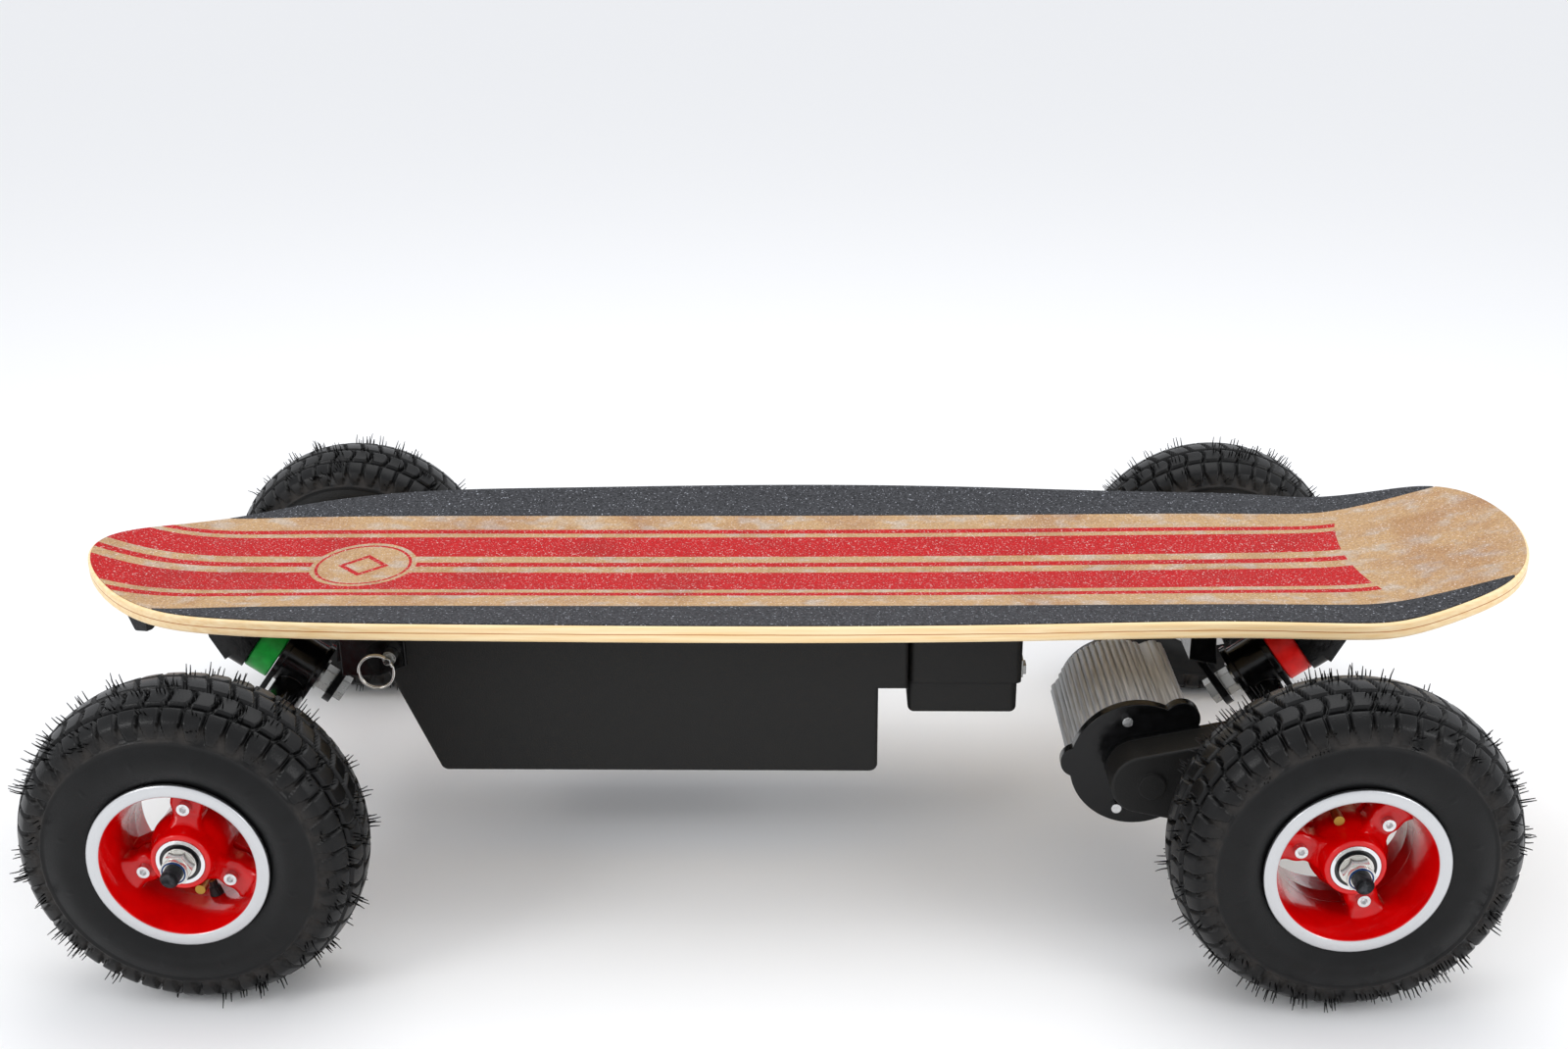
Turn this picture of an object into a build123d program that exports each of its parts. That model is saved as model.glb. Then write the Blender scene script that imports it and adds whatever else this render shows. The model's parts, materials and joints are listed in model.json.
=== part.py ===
from build123d import *
import os
from math import cos, pi, radians, sin

os.makedirs("parts", exist_ok=True)

# Off-road electric skateboard, in millimetres.  +X runs from the nose to the tail, +Y to the
# board's right, +Z up.  The origin is on the ground, under the middle of the deck.
# Left is the -Y side, where the motor and the belt are.

# ---- driving dimensions ----
DECK_LENGTH = 1071.0
DECK_HALF_WIDTH = 148.5
DECK_THICKNESS = 12.5
PRINT_THICKNESS = 0.8
PRINT_HALF_WIDTH = 93.3
WHEELBASE = 756.0
TRACK = 486.0
FRONT_X = -393.5
REAR_X = FRONT_X + WHEELBASE
TYRE_R = 114.3
AXLE_Z = TYRE_R
AXLE_R = 6.0
AXLE_TIP = 300.0
RUNNING = 0.05
GAP = 0.4

# Deck: stations along its length, with the height of its top on the centre line and how far
# the top has risen at STATION_HALF_WIDTH from the centre line.
STATION_HALF_WIDTH = 160.0
DECK_STATIONS = [
    (-560.0, 238.0, 0.4),
    (-500.0, 218.6, 1.2),
    (-455.0, 212.3, 6.0),
    (-415.0, 211.3, 11.0),
    (-350.0, 211.3, 14.6),
    (-200.0, 211.3, 16.0),
    (60.0, 211.8, 16.0),
    (230.0, 213.5, 14.5),
    (330.0, 214.9, 12.0),
    (385.0, 216.0, 8.0),
    (417.0, 218.3, 4.5),
    (448.0, 225.0, 1.6),
    (505.0, 241.3, 0.4),
    (560.0, 256.5, 0.4),
]
# Deck outline: points of one half, from the nose tip to the tail tip.
OUTLINE = [
    (-DECK_LENGTH / 2, 0.0),
    (-530.0, 27.0),
    (-514.0, 54.0),
    (-495.5, 73.0),
    (-455.5, 99.0),
    (-405.0, 120.0),
    (-335.0, 136.0),
    (-215.0, 144.0),
    (-15.0, DECK_HALF_WIDTH),
    (150.0, 144.0),
    (304.0, 135.0),
    (384.0, 133.0),
    (425.0, 128.0),
    (465.0, 118.0),
    (500.0, 103.0),
    (519.0, 80.0),
    (531.0, 45.0),
    (DECK_LENGTH / 2, 0.0),
]
UNDERSIDE = 198.4

# Trucks: the kingpin leans with its upper end outwards.
KINGPIN_LEAN = radians(36.0)
KINGPIN_R = 6.0
KINGPIN_ABOVE_AXLE = 17.0
BARREL_R = 22.0
HANGER_IN = -13.0
HANGER_OUT = 20.0
HANGER_PLATE = 4.5
BUSHING_R = 24.0
BUSHING_END = 39.6
OUTER_LEG_END = 53.0
INNER_LEG = (-30.0, -24.0)
BEAM_R = 13.0
BEAM_END = 208.6
MOTOR_BEAM_END = 135.0
SLEEVE_R = 8.5

# Wheels: distances out from the tyre's middle plane.
RIM_EDGE = 40.0
RIM_R = 59.4
BOWL_R = 50.7
SPIDER_FACE = 19.0
SPIDER_BACK = -14.0
HUB_FACE = 34.0
HUB_R = 20.0
BEARING_R = 16.0
BEARING_WIDTH = 10.0
RIM_BOLT_CIRCLE_R = 33.0
RIM_BOLT_R = 2.5

# Drive: HTD 5M belt, 16 and 44 teeth.
PITCH = 5.0
PINION_TEETH = 16
WHEEL_TEETH = 44
PINION_R = PINION_TEETH * PITCH / (2 * pi)
WHEEL_PULLEY_R = WHEEL_TEETH * PITCH / (2 * pi)
BELT_INSIDE = 0.4
BELT_THICKNESS = 3.4
BELT_Y = (-159.5, -145.5)
MOTOR_X = 244.5
MOTOR_R = 44.0
MOTOR_BACK_Y = -12.0
END_CAP_Y = -2.0
MOTOR_FRONT_Y = -128.0
FRONT_PLATE_Y = -136.0
MOUNT_Y = (-140.5, -136.5)
GUARD_Y = -168.0
SHAFT_R = 5.0
SHAFT_NOSE = 4.0
SHAFT_IN_CAP = 5.0

# Battery box and controller, under the deck.
BOX_HALF_WIDTH = 85.0
BOX_BOTTOM = 80.0
BOX_WALL = 3.0
BOX_TOP = 192.5
BOX_OUTLINE = [
    (-309.8, BOX_TOP),
    (-302.5, 175.0),
    (-262.5, BOX_BOTTOM),
    (62.5, BOX_BOTTOM),
    (62.5, 148.0),
    (84.0, 148.0),
    (84.0, BOX_TOP),
]
CELL_SIZE = (98.0, 151.0, 101.0)
CELL_COUNT = 3
CONTROLLER_X = (84.5, 167.5)
CONTROLLER_HALF_WIDTH = 78.0
CONTROLLER_SPLIT = 150.0
CONTROLLER_BOTTOM = 125.0
SOCKET_BORE_R = 6.5
SOCKET_DEPTH = 12.0
SOCKET_X = 126.0
SOCKET_Z = 174.0

# Battery latch
PIN_X = -291.5
PIN_Z = 178.0
PIN_R = 3.0
PIN_HEAD_Y = -101.0
RING_R = 12.75
RING_WIRE_R = 1.0


def save(builder, name):
    """Label a finished piece and write it as its own STEP file."""
    builder.part.label = name
    export_step(builder.part, f"parts/{name}.step")


# ---- deck ----
PRINT_INSET = 0.8


def outline_points(inset):
    """The deck's outline, both halves, shrunk towards the middle by about the inset."""
    along = 1 - inset / (DECK_LENGTH / 2)
    across = 1 - inset / DECK_HALF_WIDTH
    points = OUTLINE + [(x, -y) for x, y in OUTLINE[-2:0:-1]]
    return [(x * along, y * across) for x, y in points]


with BuildSketch() as deck_shape:
    with BuildLine():
        Spline(*outline_points(0.0), periodic=True)
    make_face()

with BuildSketch() as print_shape:
    with BuildLine():
        Spline(*outline_points(PRINT_INSET), periodic=True)
    make_face()
    Rectangle(1.1 * DECK_LENGTH, 2 * PRINT_HALF_WIDTH, mode=Mode.INTERSECT)

with BuildSketch() as strips_shape:
    with BuildLine():
        Spline(*outline_points(PRINT_INSET), periodic=True)
    make_face()
    Rectangle(1.1 * DECK_LENGTH, 2 * PRINT_HALF_WIDTH, mode=Mode.SUBTRACT)


def deck_layer(name, low, high, shape):
    """Dished, upswept layer between two heights above the deck's top, cut to a shape."""
    with BuildPart() as layer:
        for x, z, rise in DECK_STATIONS:
            with BuildSketch(Plane.YZ.offset(x)):
                with BuildLine():
                    top = ThreePointArc(
                        (-STATION_HALF_WIDTH, z + rise + high),
                        (0, z + high),
                        (STATION_HALF_WIDTH, z + rise + high),
                    )
                    bottom = ThreePointArc(
                        (STATION_HALF_WIDTH, z + rise + low),
                        (0, z + low),
                        (-STATION_HALF_WIDTH, z + rise + low),
                    )
                    Line(top @ 1, bottom @ 0)
                    Line(bottom @ 1, top @ 0)
                make_face()
        loft()
        with BuildSketch():
            add(shape)
        extrude(amount=300, mode=Mode.INTERSECT)
    save(layer, name)


deck_layer("deck", -DECK_THICKNESS, 0.0, deck_shape.sketch)
deck_layer("deck_print", 0.0, PRINT_THICKNESS, print_shape.sketch)
deck_layer("grip_strips", 0.0, PRINT_THICKNESS, strips_shape.sketch)

# A moulded rubber bumper guards the underside of the nose.
BUMPER_HALF_WIDTH = 60.0
with BuildPart() as nose_bumper:
    with BuildSketch(Plane.XZ):
        with BuildLine():
            Polyline(
                (-503, 204.9), (-502, 186), (-495, 176.5), (-476, 184), (-470, 190), (-470, 199.6),
                close=True,
            )
        make_face()
    extrude(amount=BUMPER_HALF_WIDTH, both=True)
    fillet(nose_bumper.edges().filter_by(Axis.Y).group_by(Axis.Z)[0], 2.5)
    with BuildSketch(Plane.XY.offset(170)):
        with Locations((-470, 0)):
            Trapezoid(140, 34, 45, rotation=90, align=(Align.CENTER, Align.MIN))
    extrude(amount=40, mode=Mode.INTERSECT)
save(nose_bumper, "nose_bumper")


# ---- trucks ----
def kingpin_plane(end, along):
    """Plane across the kingpin: local x is across the board, local y points down to the axle.

    end is -1 for the front truck and +1 for the rear; along is the distance outwards and
    upwards along the kingpin from its nearest point to the axle.
    """
    axle_x = FRONT_X if end < 0 else REAR_X
    origin = (
        axle_x - end * KINGPIN_ABOVE_AXLE * sin(KINGPIN_LEAN) + end * along * cos(KINGPIN_LEAN),
        0,
        AXLE_Z + KINGPIN_ABOVE_AXLE * cos(KINGPIN_LEAN) + along * sin(KINGPIN_LEAN),
    )
    return Plane(origin, x_dir=(0, -end, 0), z_dir=(end * cos(KINGPIN_LEAN), 0, sin(KINGPIN_LEAN)))


BRACKET_HALF_WIDTH = 26.0
CHEEK_IN = 16.0
CHEEK_OUT = BRACKET_HALF_WIDTH
BASE_X = (-452.0, -331.5)
BASE_THICKNESS = 6.0
BASE_HALF_WIDTH = 40.0
BASE_BOLT_X = (-422.0, -352.0)
BASE_BOLT_Y = 31.0
BASE_BOLT_R = 3.0


def mirrored_x(end, x):
    """Turn a front truck X into the same place on the truck at the given end."""
    return x if end < 0 else FRONT_X + REAR_X - x


def base_bolt_spots(end):
    """The four bolt places of a bracket's base."""
    return [(mirrored_x(end, x), y) for x in BASE_BOLT_X for y in (-BASE_BOLT_Y, BASE_BOLT_Y)]


def bracket(end, name):
    """U bracket bolted under the deck, whose two legs hold the kingpin."""
    with BuildPart() as part:
        base_middle = mirrored_x(end, sum(BASE_X) / 2)
        with BuildSketch(Plane.XY.offset(UNDERSIDE - BASE_THICKNESS)):
            with Locations((base_middle, 0)):
                RectangleRounded(BASE_X[1] - BASE_X[0], 2 * BASE_HALF_WIDTH, 9)
        extrude(amount=BASE_THICKNESS)
        with BuildSketch(kingpin_plane(end, BUSHING_END)):
            with Locations((0, -18)):
                RectangleRounded(2 * BRACKET_HALF_WIDTH, 76, 10)
        extrude(amount=OUTER_LEG_END - BUSHING_END)
        with BuildSketch(kingpin_plane(end, INNER_LEG[0])):
            with Locations((0, -16)):
                RectangleRounded(40, 56, 12)
        extrude(amount=INNER_LEG[1] - INNER_LEG[0])
        with BuildSketch(Plane.XZ):
            with BuildLine():
                corners = [(-352.5, 139.0), (-331.5, 143.0), (-331.5, 194.0), (-348.0, 194.0)]
                Polyline(*[(mirrored_x(end, x), z) for x, z in corners], close=True)
            make_face()
        extrude(amount=20, both=True)
        with BuildSketch(*[Plane.XZ.offset(y) for y in (-CHEEK_OUT, CHEEK_IN)]):
            with BuildLine():
                corners = [(-430.0, 149.0), (-437.0, 144.0), (-447.0, 163.0), (-451.0, 194.0), (-402.0, 194.0)]
                Polyline(*[(mirrored_x(end, x), z) for x, z in corners], close=True)
            make_face()
        extrude(amount=CHEEK_OUT - CHEEK_IN)
        with BuildSketch(Plane.XY.offset(UNDERSIDE)):
            Rectangle(1200, 400)
        extrude(amount=60, mode=Mode.SUBTRACT)
        with BuildSketch(kingpin_plane(end, -60)):
            Circle(KINGPIN_R)
        extrude(amount=140, mode=Mode.SUBTRACT)
        with BuildSketch(Plane.XY.offset(UNDERSIDE)):
            with Locations(*base_bolt_spots(end)):
                Circle(BASE_BOLT_R)
        extrude(amount=-2 * BASE_THICKNESS, mode=Mode.SUBTRACT)
    save(part, name)


def bushing(end, name):
    """Coloured urethane bushing between the outer leg and the hanger."""
    with BuildPart() as part:
        with BuildSketch(kingpin_plane(end, HANGER_OUT + GAP)):
            Circle(BUSHING_R)
            Circle(KINGPIN_R + 0.3, mode=Mode.SUBTRACT)
        extrude(amount=BUSHING_END - HANGER_OUT - GAP)
        fillet(part.edges().filter_by(GeomType.CIRCLE).sort_by(SortBy.RADIUS)[-2:], 1.5)
    save(part, name)


def hanger(end, name, left_end, right_end):
    """Barrel on the kingpin, two cheek plates and the beam that grips the axle."""
    axle_x = FRONT_X if end < 0 else REAR_X
    with BuildPart() as part:
        with BuildSketch(kingpin_plane(end, HANGER_IN)):
            Circle(BARREL_R)
        extrude(amount=HANGER_OUT - HANGER_IN)
        for along in (HANGER_IN, HANGER_OUT - HANGER_PLATE):
            with BuildSketch(kingpin_plane(end, along)):
                Circle(BARREL_R + 3)
                with Locations((0, 22)):
                    RectangleRounded(50, 44, 6)
            extrude(amount=HANGER_PLATE)
        with BuildSketch(Plane.XZ.offset(left_end)):
            with Locations((axle_x, AXLE_Z)):
                Circle(BEAM_R)
        extrude(amount=-(left_end + right_end))
        with BuildSketch(kingpin_plane(end, -60)):
            Circle(KINGPIN_R + RUNNING)
        extrude(amount=120, mode=Mode.SUBTRACT)
        with BuildSketch(Plane.XZ.offset(AXLE_TIP)):
            with Locations((axle_x, AXLE_Z)):
                Circle(AXLE_R)
        extrude(amount=-2 * AXLE_TIP, mode=Mode.SUBTRACT)
    save(part, name)


bracket(-1, "front_bracket")
bracket(1, "rear_bracket")
bushing(-1, "front_bushing")
bushing(1, "rear_bushing")
hanger(-1, "front_hanger", BEAM_END, BEAM_END)
hanger(1, "rear_hanger", MOTOR_BEAM_END, BEAM_END)

NUT_ACROSS = 10.5
with BuildPart() as kingpins:
    for end in (-1, 1):
        with BuildSketch(kingpin_plane(end, INNER_LEG[0] - 7)):
            Circle(KINGPIN_R)
        extrude(amount=OUTER_LEG_END - INNER_LEG[0] + 7)
        with BuildSketch(kingpin_plane(end, OUTER_LEG_END)):
            RegularPolygon(NUT_ACROSS, 6)
        extrude(amount=7)
        with BuildSketch(kingpin_plane(end, INNER_LEG[0])):
            RegularPolygon(NUT_ACROSS, 6)
        extrude(amount=-7)
        with BuildSketch(kingpin_plane(end, INNER_LEG[1])):
            RegularPolygon(NUT_ACROSS, 6)
        extrude(amount=HANGER_IN - GAP - 2 - INNER_LEG[1])
        with BuildSketch(kingpin_plane(end, HANGER_IN - GAP)):
            Circle(13)
        extrude(amount=-2)
save(kingpins, "kingpins")

# Eight truck bolts run up from the bracket bases into threaded inserts in the deck.
with BuildPart() as truck_bolts:
    for end in (-1, 1):
        spots = base_bolt_spots(end)
        with BuildSketch(Plane.XY.offset(UNDERSIDE - BASE_THICKNESS)):
            with Locations(*spots):
                Circle(BASE_BOLT_R)
        extrude(amount=BASE_THICKNESS)
        with BuildSketch(Plane.XY.offset(UNDERSIDE - BASE_THICKNESS)):
            with Locations(*spots):
                Circle(5)
        extrude(amount=-6)
        with BuildSketch(Plane.XY.offset(UNDERSIDE - BASE_THICKNESS - 6)):
            with Locations(*spots):
                RegularPolygon(2.9, 6)
        extrude(amount=3, mode=Mode.SUBTRACT)
save(truck_bolts, "truck_bolts")


def axle(end, name):
    """Steel axle through the hanger; the rear one carries a spacer sleeve under the belt pulley."""
    axle_x = FRONT_X if end < 0 else REAR_X
    with BuildPart() as part:
        with BuildSketch(Plane.XZ.offset(AXLE_TIP)):
            with Locations((axle_x, AXLE_Z)):
                Circle(AXLE_R)
        extrude(amount=-2 * AXLE_TIP)
        chamfer(part.edges().filter_by(GeomType.CIRCLE), 1.2)
        if end > 0:
            with BuildSketch(Plane.XZ.offset(MOTOR_BEAM_END)):
                with Locations((axle_x, AXLE_Z)):
                    Circle(SLEEVE_R)
            extrude(amount=BEAM_END - MOTOR_BEAM_END)
    save(part, name)


def axle_nuts(end, name):
    """Washer and locking nut at each end of an axle."""
    axle_x = FRONT_X if end < 0 else REAR_X
    washer_y = TRACK / 2 + HUB_FACE + GAP
    with BuildPart() as part:
        for side in (-1, 1):
            with BuildSketch(Plane.XZ.offset(-side * washer_y)):
                with Locations((axle_x, AXLE_Z)):
                    Circle(11)
                    Circle(AXLE_R, mode=Mode.SUBTRACT)
            extrude(amount=-side * 1.6)
            with BuildSketch(Plane.XZ.offset(-side * (washer_y + 1.6))):
                with Locations((axle_x, AXLE_Z)):
                    RegularPolygon(NUT_ACROSS, 6)
                    Circle(AXLE_R, mode=Mode.SUBTRACT)
            extrude(amount=-side * 8)
            with BuildSketch(Plane.XZ.offset(-side * (washer_y + 9.6))):
                with Locations((axle_x, AXLE_Z)):
                    Circle(8.6)
                    Circle(AXLE_R, mode=Mode.SUBTRACT)
            extrude(amount=-side * 3.4)
    save(part, name)


axle(-1, "front_axle")
axle(1, "rear_axle")
axle_nuts(-1, "front_axle_nuts")
axle_nuts(1, "rear_axle_nuts")


# ---- wheels ----
TYRE_SKIN = [
    (60.0, 36.2),
    (70.0, 40.2),
    (82.0, 41.3),
    (95.0, 38.6),
    (104.0, 32.0),
    (111.0, 19.0),
    (TYRE_R, 0.0),
]
TYRE_INSIDE = [
    (53.4, 26.4),
    (66.0, 31.5),
    (82.0, 34.0),
    (96.0, 28.0),
    (105.0, 0.0),
]
BEAD_R = 52.5
BEAD = (26.0, 33.6)


def section_plane(x, side, facing):
    """Half section of a wheel: local x is the radius, local y runs the way that is faced."""
    return Plane((x, side * TRACK / 2, AXLE_Z), x_dir=(1, 0, 0), z_dir=(0, 0, facing))


def cross_plane(x, side, facing, out):
    """Across a wheel at a distance out from its middle, looking back from the way that is faced."""
    y = side * TRACK / 2 + facing * out
    return Plane((x, y, AXLE_Z), x_dir=(1, 0, 0), z_dir=(0, facing, 0))


def wheel_axis(x):
    """The axle's line at the given X."""
    return Axis((x, 0, AXLE_Z), (0, 1, 0))


def tyre(x, side, name):
    """Pneumatic tyre: a horseshoe section turned round the axle."""
    with BuildPart() as part:
        with BuildSketch(section_plane(x, side, side)):
            with BuildLine():
                skin = Spline(*TYRE_SKIN, *[(r, -out) for r, out in TYRE_SKIN[-2::-1]])
                inside = Spline(*TYRE_INSIDE, *[(r, -out) for r, out in TYRE_INSIDE[-2::-1]])
                for flip, start, finish in ((1, skin @ 0, inside @ 0), (-1, skin @ 1, inside @ 1)):
                    Polyline(start, (BEAD_R + 0.1, flip * BEAD[1]), (BEAD_R + 0.1, flip * BEAD[0]), finish)
            make_face()
        revolve(axis=wheel_axis(x))
    save(part, name)


def rim_half(x, side, facing, phase, name):
    """One half of the split rim: barrel with its flange, three spokes and the bearing boss."""
    outer = facing == side
    spider = SPIDER_FACE if outer else -SPIDER_BACK
    start = phase if facing < 0 else -phase
    with BuildPart() as part:
        with BuildSketch(section_plane(x, side, facing)):
            Polygon(
                (45.5, 0),
                (49.5, 0),
                (BEAD_R, BEAD[0]),
                (BEAD_R, 34.0),
                (RIM_R, 36.4),
                (RIM_R, RIM_EDGE),
                (BOWL_R, RIM_EDGE),
                (46.0, spider),
                align=None,
            )
            Polygon((AXLE_R + 3, 0), (HUB_R, 0), (HUB_R, HUB_FACE), (AXLE_R + 3, HUB_FACE), align=None)
        revolve(axis=wheel_axis(x))
        with BuildSketch(cross_plane(x, side, facing, 0)):
            with PolarLocations(0, 3, start_angle=start):
                with Locations((RIM_BOLT_CIRCLE_R, 0)):
                    Rectangle(30, 22)
            Circle(HUB_R + 5)
        extrude(amount=spider)
        with BuildSketch(cross_plane(x, side, facing, 0)):
            with PolarLocations(RIM_BOLT_CIRCLE_R, 3, start_angle=start):
                Circle(RIM_BOLT_R)
            Circle(AXLE_R + 3)
        extrude(amount=RIM_EDGE, mode=Mode.SUBTRACT)
        with BuildSketch(cross_plane(x, side, facing, HUB_FACE)):
            Circle(BEARING_R)
        extrude(amount=-BEARING_WIDTH, mode=Mode.SUBTRACT)
    save(part, name)


def bearings(x, side, name):
    """Two ball bearings, each an outer ring, a shield and an inner ring turned as one."""
    with BuildPart() as part:
        for facing in (-1, 1):
            with BuildSketch(section_plane(x, side, facing)):
                inner = AXLE_R + RUNNING
                back = HUB_FACE - BEARING_WIDTH
                Polygon(
                    (inner, back),
                    (BEARING_R, back),
                    (BEARING_R, HUB_FACE),
                    (13.4, HUB_FACE),
                    (13.4, HUB_FACE - 1),
                    (9.2, HUB_FACE - 1),
                    (9.2, HUB_FACE),
                    (inner, HUB_FACE),
                    align=None,
                )
            revolve(axis=wheel_axis(x))
    save(part, name)


def rim_bolts(x, side, phase, name):
    """Three socket screws that clamp the two rim halves, with their nuts."""
    start = phase if side < 0 else -phase
    with BuildPart() as part:
        with BuildSketch(cross_plane(x, side, side, SPIDER_BACK - 6)):
            with PolarLocations(RIM_BOLT_CIRCLE_R, 3, start_angle=start):
                Circle(RIM_BOLT_R)
        extrude(amount=SPIDER_FACE - SPIDER_BACK + 6)
        with BuildSketch(cross_plane(x, side, side, SPIDER_FACE)):
            with PolarLocations(RIM_BOLT_CIRCLE_R, 3, start_angle=start):
                Circle(4.3)
        extrude(amount=5)
        with BuildSketch(cross_plane(x, side, side, SPIDER_FACE + 5)):
            with PolarLocations(RIM_BOLT_CIRCLE_R, 3, start_angle=start):
                RegularPolygon(2.3, 6)
        extrude(amount=-2.5, mode=Mode.SUBTRACT)
        with BuildSketch(cross_plane(x, side, side, SPIDER_BACK)):
            with PolarLocations(RIM_BOLT_CIRCLE_R, 3, start_angle=start):
                RegularPolygon(4.6, 6)
        extrude(amount=-4)
    save(part, name)


def valve(x, side, angle, name):
    """Bent brass valve stem, out of the rim barrel between two spokes."""
    turn = radians(angle)
    radial = Vector(cos(turn), 0, sin(turn))
    middle = Vector(x, side * TRACK / 2, AXLE_Z)
    outward = Vector(0, side, 0)
    foot = middle + radial * 45.0
    elbow = middle + radial * 29
    tip = elbow + outward * 21
    with BuildPart() as part:
        with BuildLine() as path:
            FilletPolyline(foot, elbow, tip, radius=6)
        with BuildSketch(Plane(foot, z_dir=-radial)):
            Circle(2.7)
        sweep()
        with BuildSketch(Plane(tip, z_dir=outward)):
            Circle(3.4)
        extrude(amount=-8)
        with BuildSketch(Plane(foot, z_dir=-radial)):
            Circle(4.6)
        extrude(amount=6, taper=8)
    save(part, name)


WHEELS = [
    ("front_left", FRONT_X, -1, 85.0, -80.0),
    ("front_right", FRONT_X, 1, 30.0, 90.0),
    ("rear_left", REAR_X, -1, 50.6, 110.6),
    ("rear_right", REAR_X, 1, 10.0, 70.0),
]
for wheel, wheel_x, wheel_side, spoke_phase, valve_angle in WHEELS:
    tyre(wheel_x, wheel_side, f"{wheel}_tyre")
    rim_half(wheel_x, wheel_side, wheel_side, spoke_phase, f"{wheel}_rim_outer")
    rim_half(wheel_x, wheel_side, -wheel_side, spoke_phase, f"{wheel}_rim_inner")
    bearings(wheel_x, wheel_side, f"{wheel}_bearings")
    rim_bolts(wheel_x, wheel_side, spoke_phase, f"{wheel}_rim_bolts")
    valve(wheel_x, wheel_side, valve_angle, f"{wheel}_valve")

# ---- drive ----


def toothed_disc(x, teeth, outside):
    """Round-bottomed belt teeth on a disc, drawn into the current sketch."""
    with Locations((x, AXLE_Z)):
        Circle(outside)
        with PolarLocations(outside, teeth):
            Circle(1.4, mode=Mode.SUBTRACT)


with BuildPart() as motor_rotor:
    with BuildSketch(Plane.XZ.offset(-BELT_Y[0] + SHAFT_NOSE)):
        with Locations((MOTOR_X, AXLE_Z)):
            Circle(SHAFT_R)
    extrude(amount=BELT_Y[0] - SHAFT_NOSE - MOTOR_BACK_Y - SHAFT_IN_CAP)
    with BuildSketch(Plane.XZ.offset(-BELT_Y[0])):
        toothed_disc(MOTOR_X, PINION_TEETH, PINION_R - BELT_INSIDE)
    extrude(amount=BELT_Y[0] - BELT_Y[1])
    with BuildSketch(Plane.XZ.offset(112)):
        with Locations((MOTOR_X, AXLE_Z)):
            Circle(26)
    extrude(amount=-76)
save(motor_rotor, "motor_rotor")

# Lugs that stand out of the motor's round shape: (angle, distance out, radius).
LUGS = ((50.0, 43.0, 10.0), (178.0, 39.0, 8.5))
SCREW_ANGLES = (104.0, 250.0)
SCREW_CIRCLE_R = 36.0
with BuildPart() as motor_body:
    with BuildSketch(Plane.XZ.offset(-MOTOR_FRONT_Y)):
        with Locations((MOTOR_X, AXLE_Z)):
            Circle(MOTOR_R)
            for angle, out, lug_r in LUGS:
                with PolarLocations(out, 1, start_angle=angle):
                    Circle(lug_r)
    extrude(amount=MOTOR_FRONT_Y - MOTOR_BACK_Y)
    with BuildSketch(Plane.XZ.offset(-MOTOR_FRONT_Y)):
        with Locations((MOTOR_X, AXLE_Z)):
            Circle(36)
    extrude(amount=MOTOR_FRONT_Y - MOTOR_BACK_Y + 6, mode=Mode.SUBTRACT)
    with BuildSketch(Plane.XZ.offset(-MOTOR_FRONT_Y)):
        with Locations((MOTOR_X, AXLE_Z)):
            Circle(SHAFT_R + RUNNING)
    extrude(amount=-150, mode=Mode.SUBTRACT)
save(motor_body, "motor_body")

with BuildPart() as motor_front_plate:
    with BuildSketch(Plane.XZ.offset(-FRONT_PLATE_Y)):
        with Locations((MOTOR_X, AXLE_Z)):
            Circle(MOTOR_R + 3)
            for angle, out, lug_r in LUGS:
                with PolarLocations(out + 3, 1, start_angle=angle):
                    Circle(lug_r + 3)
            Circle(SHAFT_R + RUNNING, mode=Mode.SUBTRACT)
            for angle in SCREW_ANGLES:
                with PolarLocations(SCREW_CIRCLE_R, 1, start_angle=angle):
                    Circle(2, mode=Mode.SUBTRACT)
    extrude(amount=FRONT_PLATE_Y - MOTOR_FRONT_Y)
save(motor_front_plate, "motor_front_plate")

with BuildPart() as motor_screws:
    with BuildSketch(Plane.XZ.offset(-FRONT_PLATE_Y)):
        with Locations((MOTOR_X, AXLE_Z)):
            for angle in SCREW_ANGLES:
                with PolarLocations(SCREW_CIRCLE_R, 1, start_angle=angle):
                    Circle(2)
    extrude(amount=FRONT_PLATE_Y - MOTOR_FRONT_Y)
    with BuildSketch(Plane.XZ.offset(-FRONT_PLATE_Y)):
        with Locations((MOTOR_X, AXLE_Z)):
            for angle in SCREW_ANGLES:
                with PolarLocations(SCREW_CIRCLE_R, 1, start_angle=angle):
                    Circle(3.6)
    extrude(amount=4)
save(motor_screws, "motor_screws")

GUARD_PINION_R = 22.0
GUARD_WHEEL_R = 46.0
GUARD_WALL = 2.5
PULLEY_HOLE_R = 41.0


def belt_loop(pinion_r, wheel_r):
    """Hull of a circle at the motor shaft and a circle at the axle, drawn into the sketch."""
    with Locations((MOTOR_X, AXLE_Z)):
        Circle(pinion_r)
    with Locations((REAR_X, AXLE_Z)):
        Circle(wheel_r)
    make_hull()


# Bracket plate between the motor's front and the end of the hanger's beam, with a clamp ring.
with BuildPart() as motor_mount:
    with BuildSketch(Plane.XZ.offset(-MOUNT_Y[0])):
        belt_loop(GUARD_PINION_R, GUARD_WHEEL_R)
        with Locations((MOTOR_X, AXLE_Z)):
            Circle(SHAFT_R + 3, mode=Mode.SUBTRACT)
        with Locations((REAR_X, AXLE_Z)):
            Circle(SLEEVE_R, mode=Mode.SUBTRACT)
    extrude(amount=MOUNT_Y[0] - MOUNT_Y[1])
    with BuildSketch(Plane.XZ.offset(-MOUNT_Y[1])):
        with Locations((REAR_X, AXLE_Z)):
            Circle(20)
            Circle(BEAM_R, mode=Mode.SUBTRACT)
    extrude(amount=-20)
save(motor_mount, "motor_mount")

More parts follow.
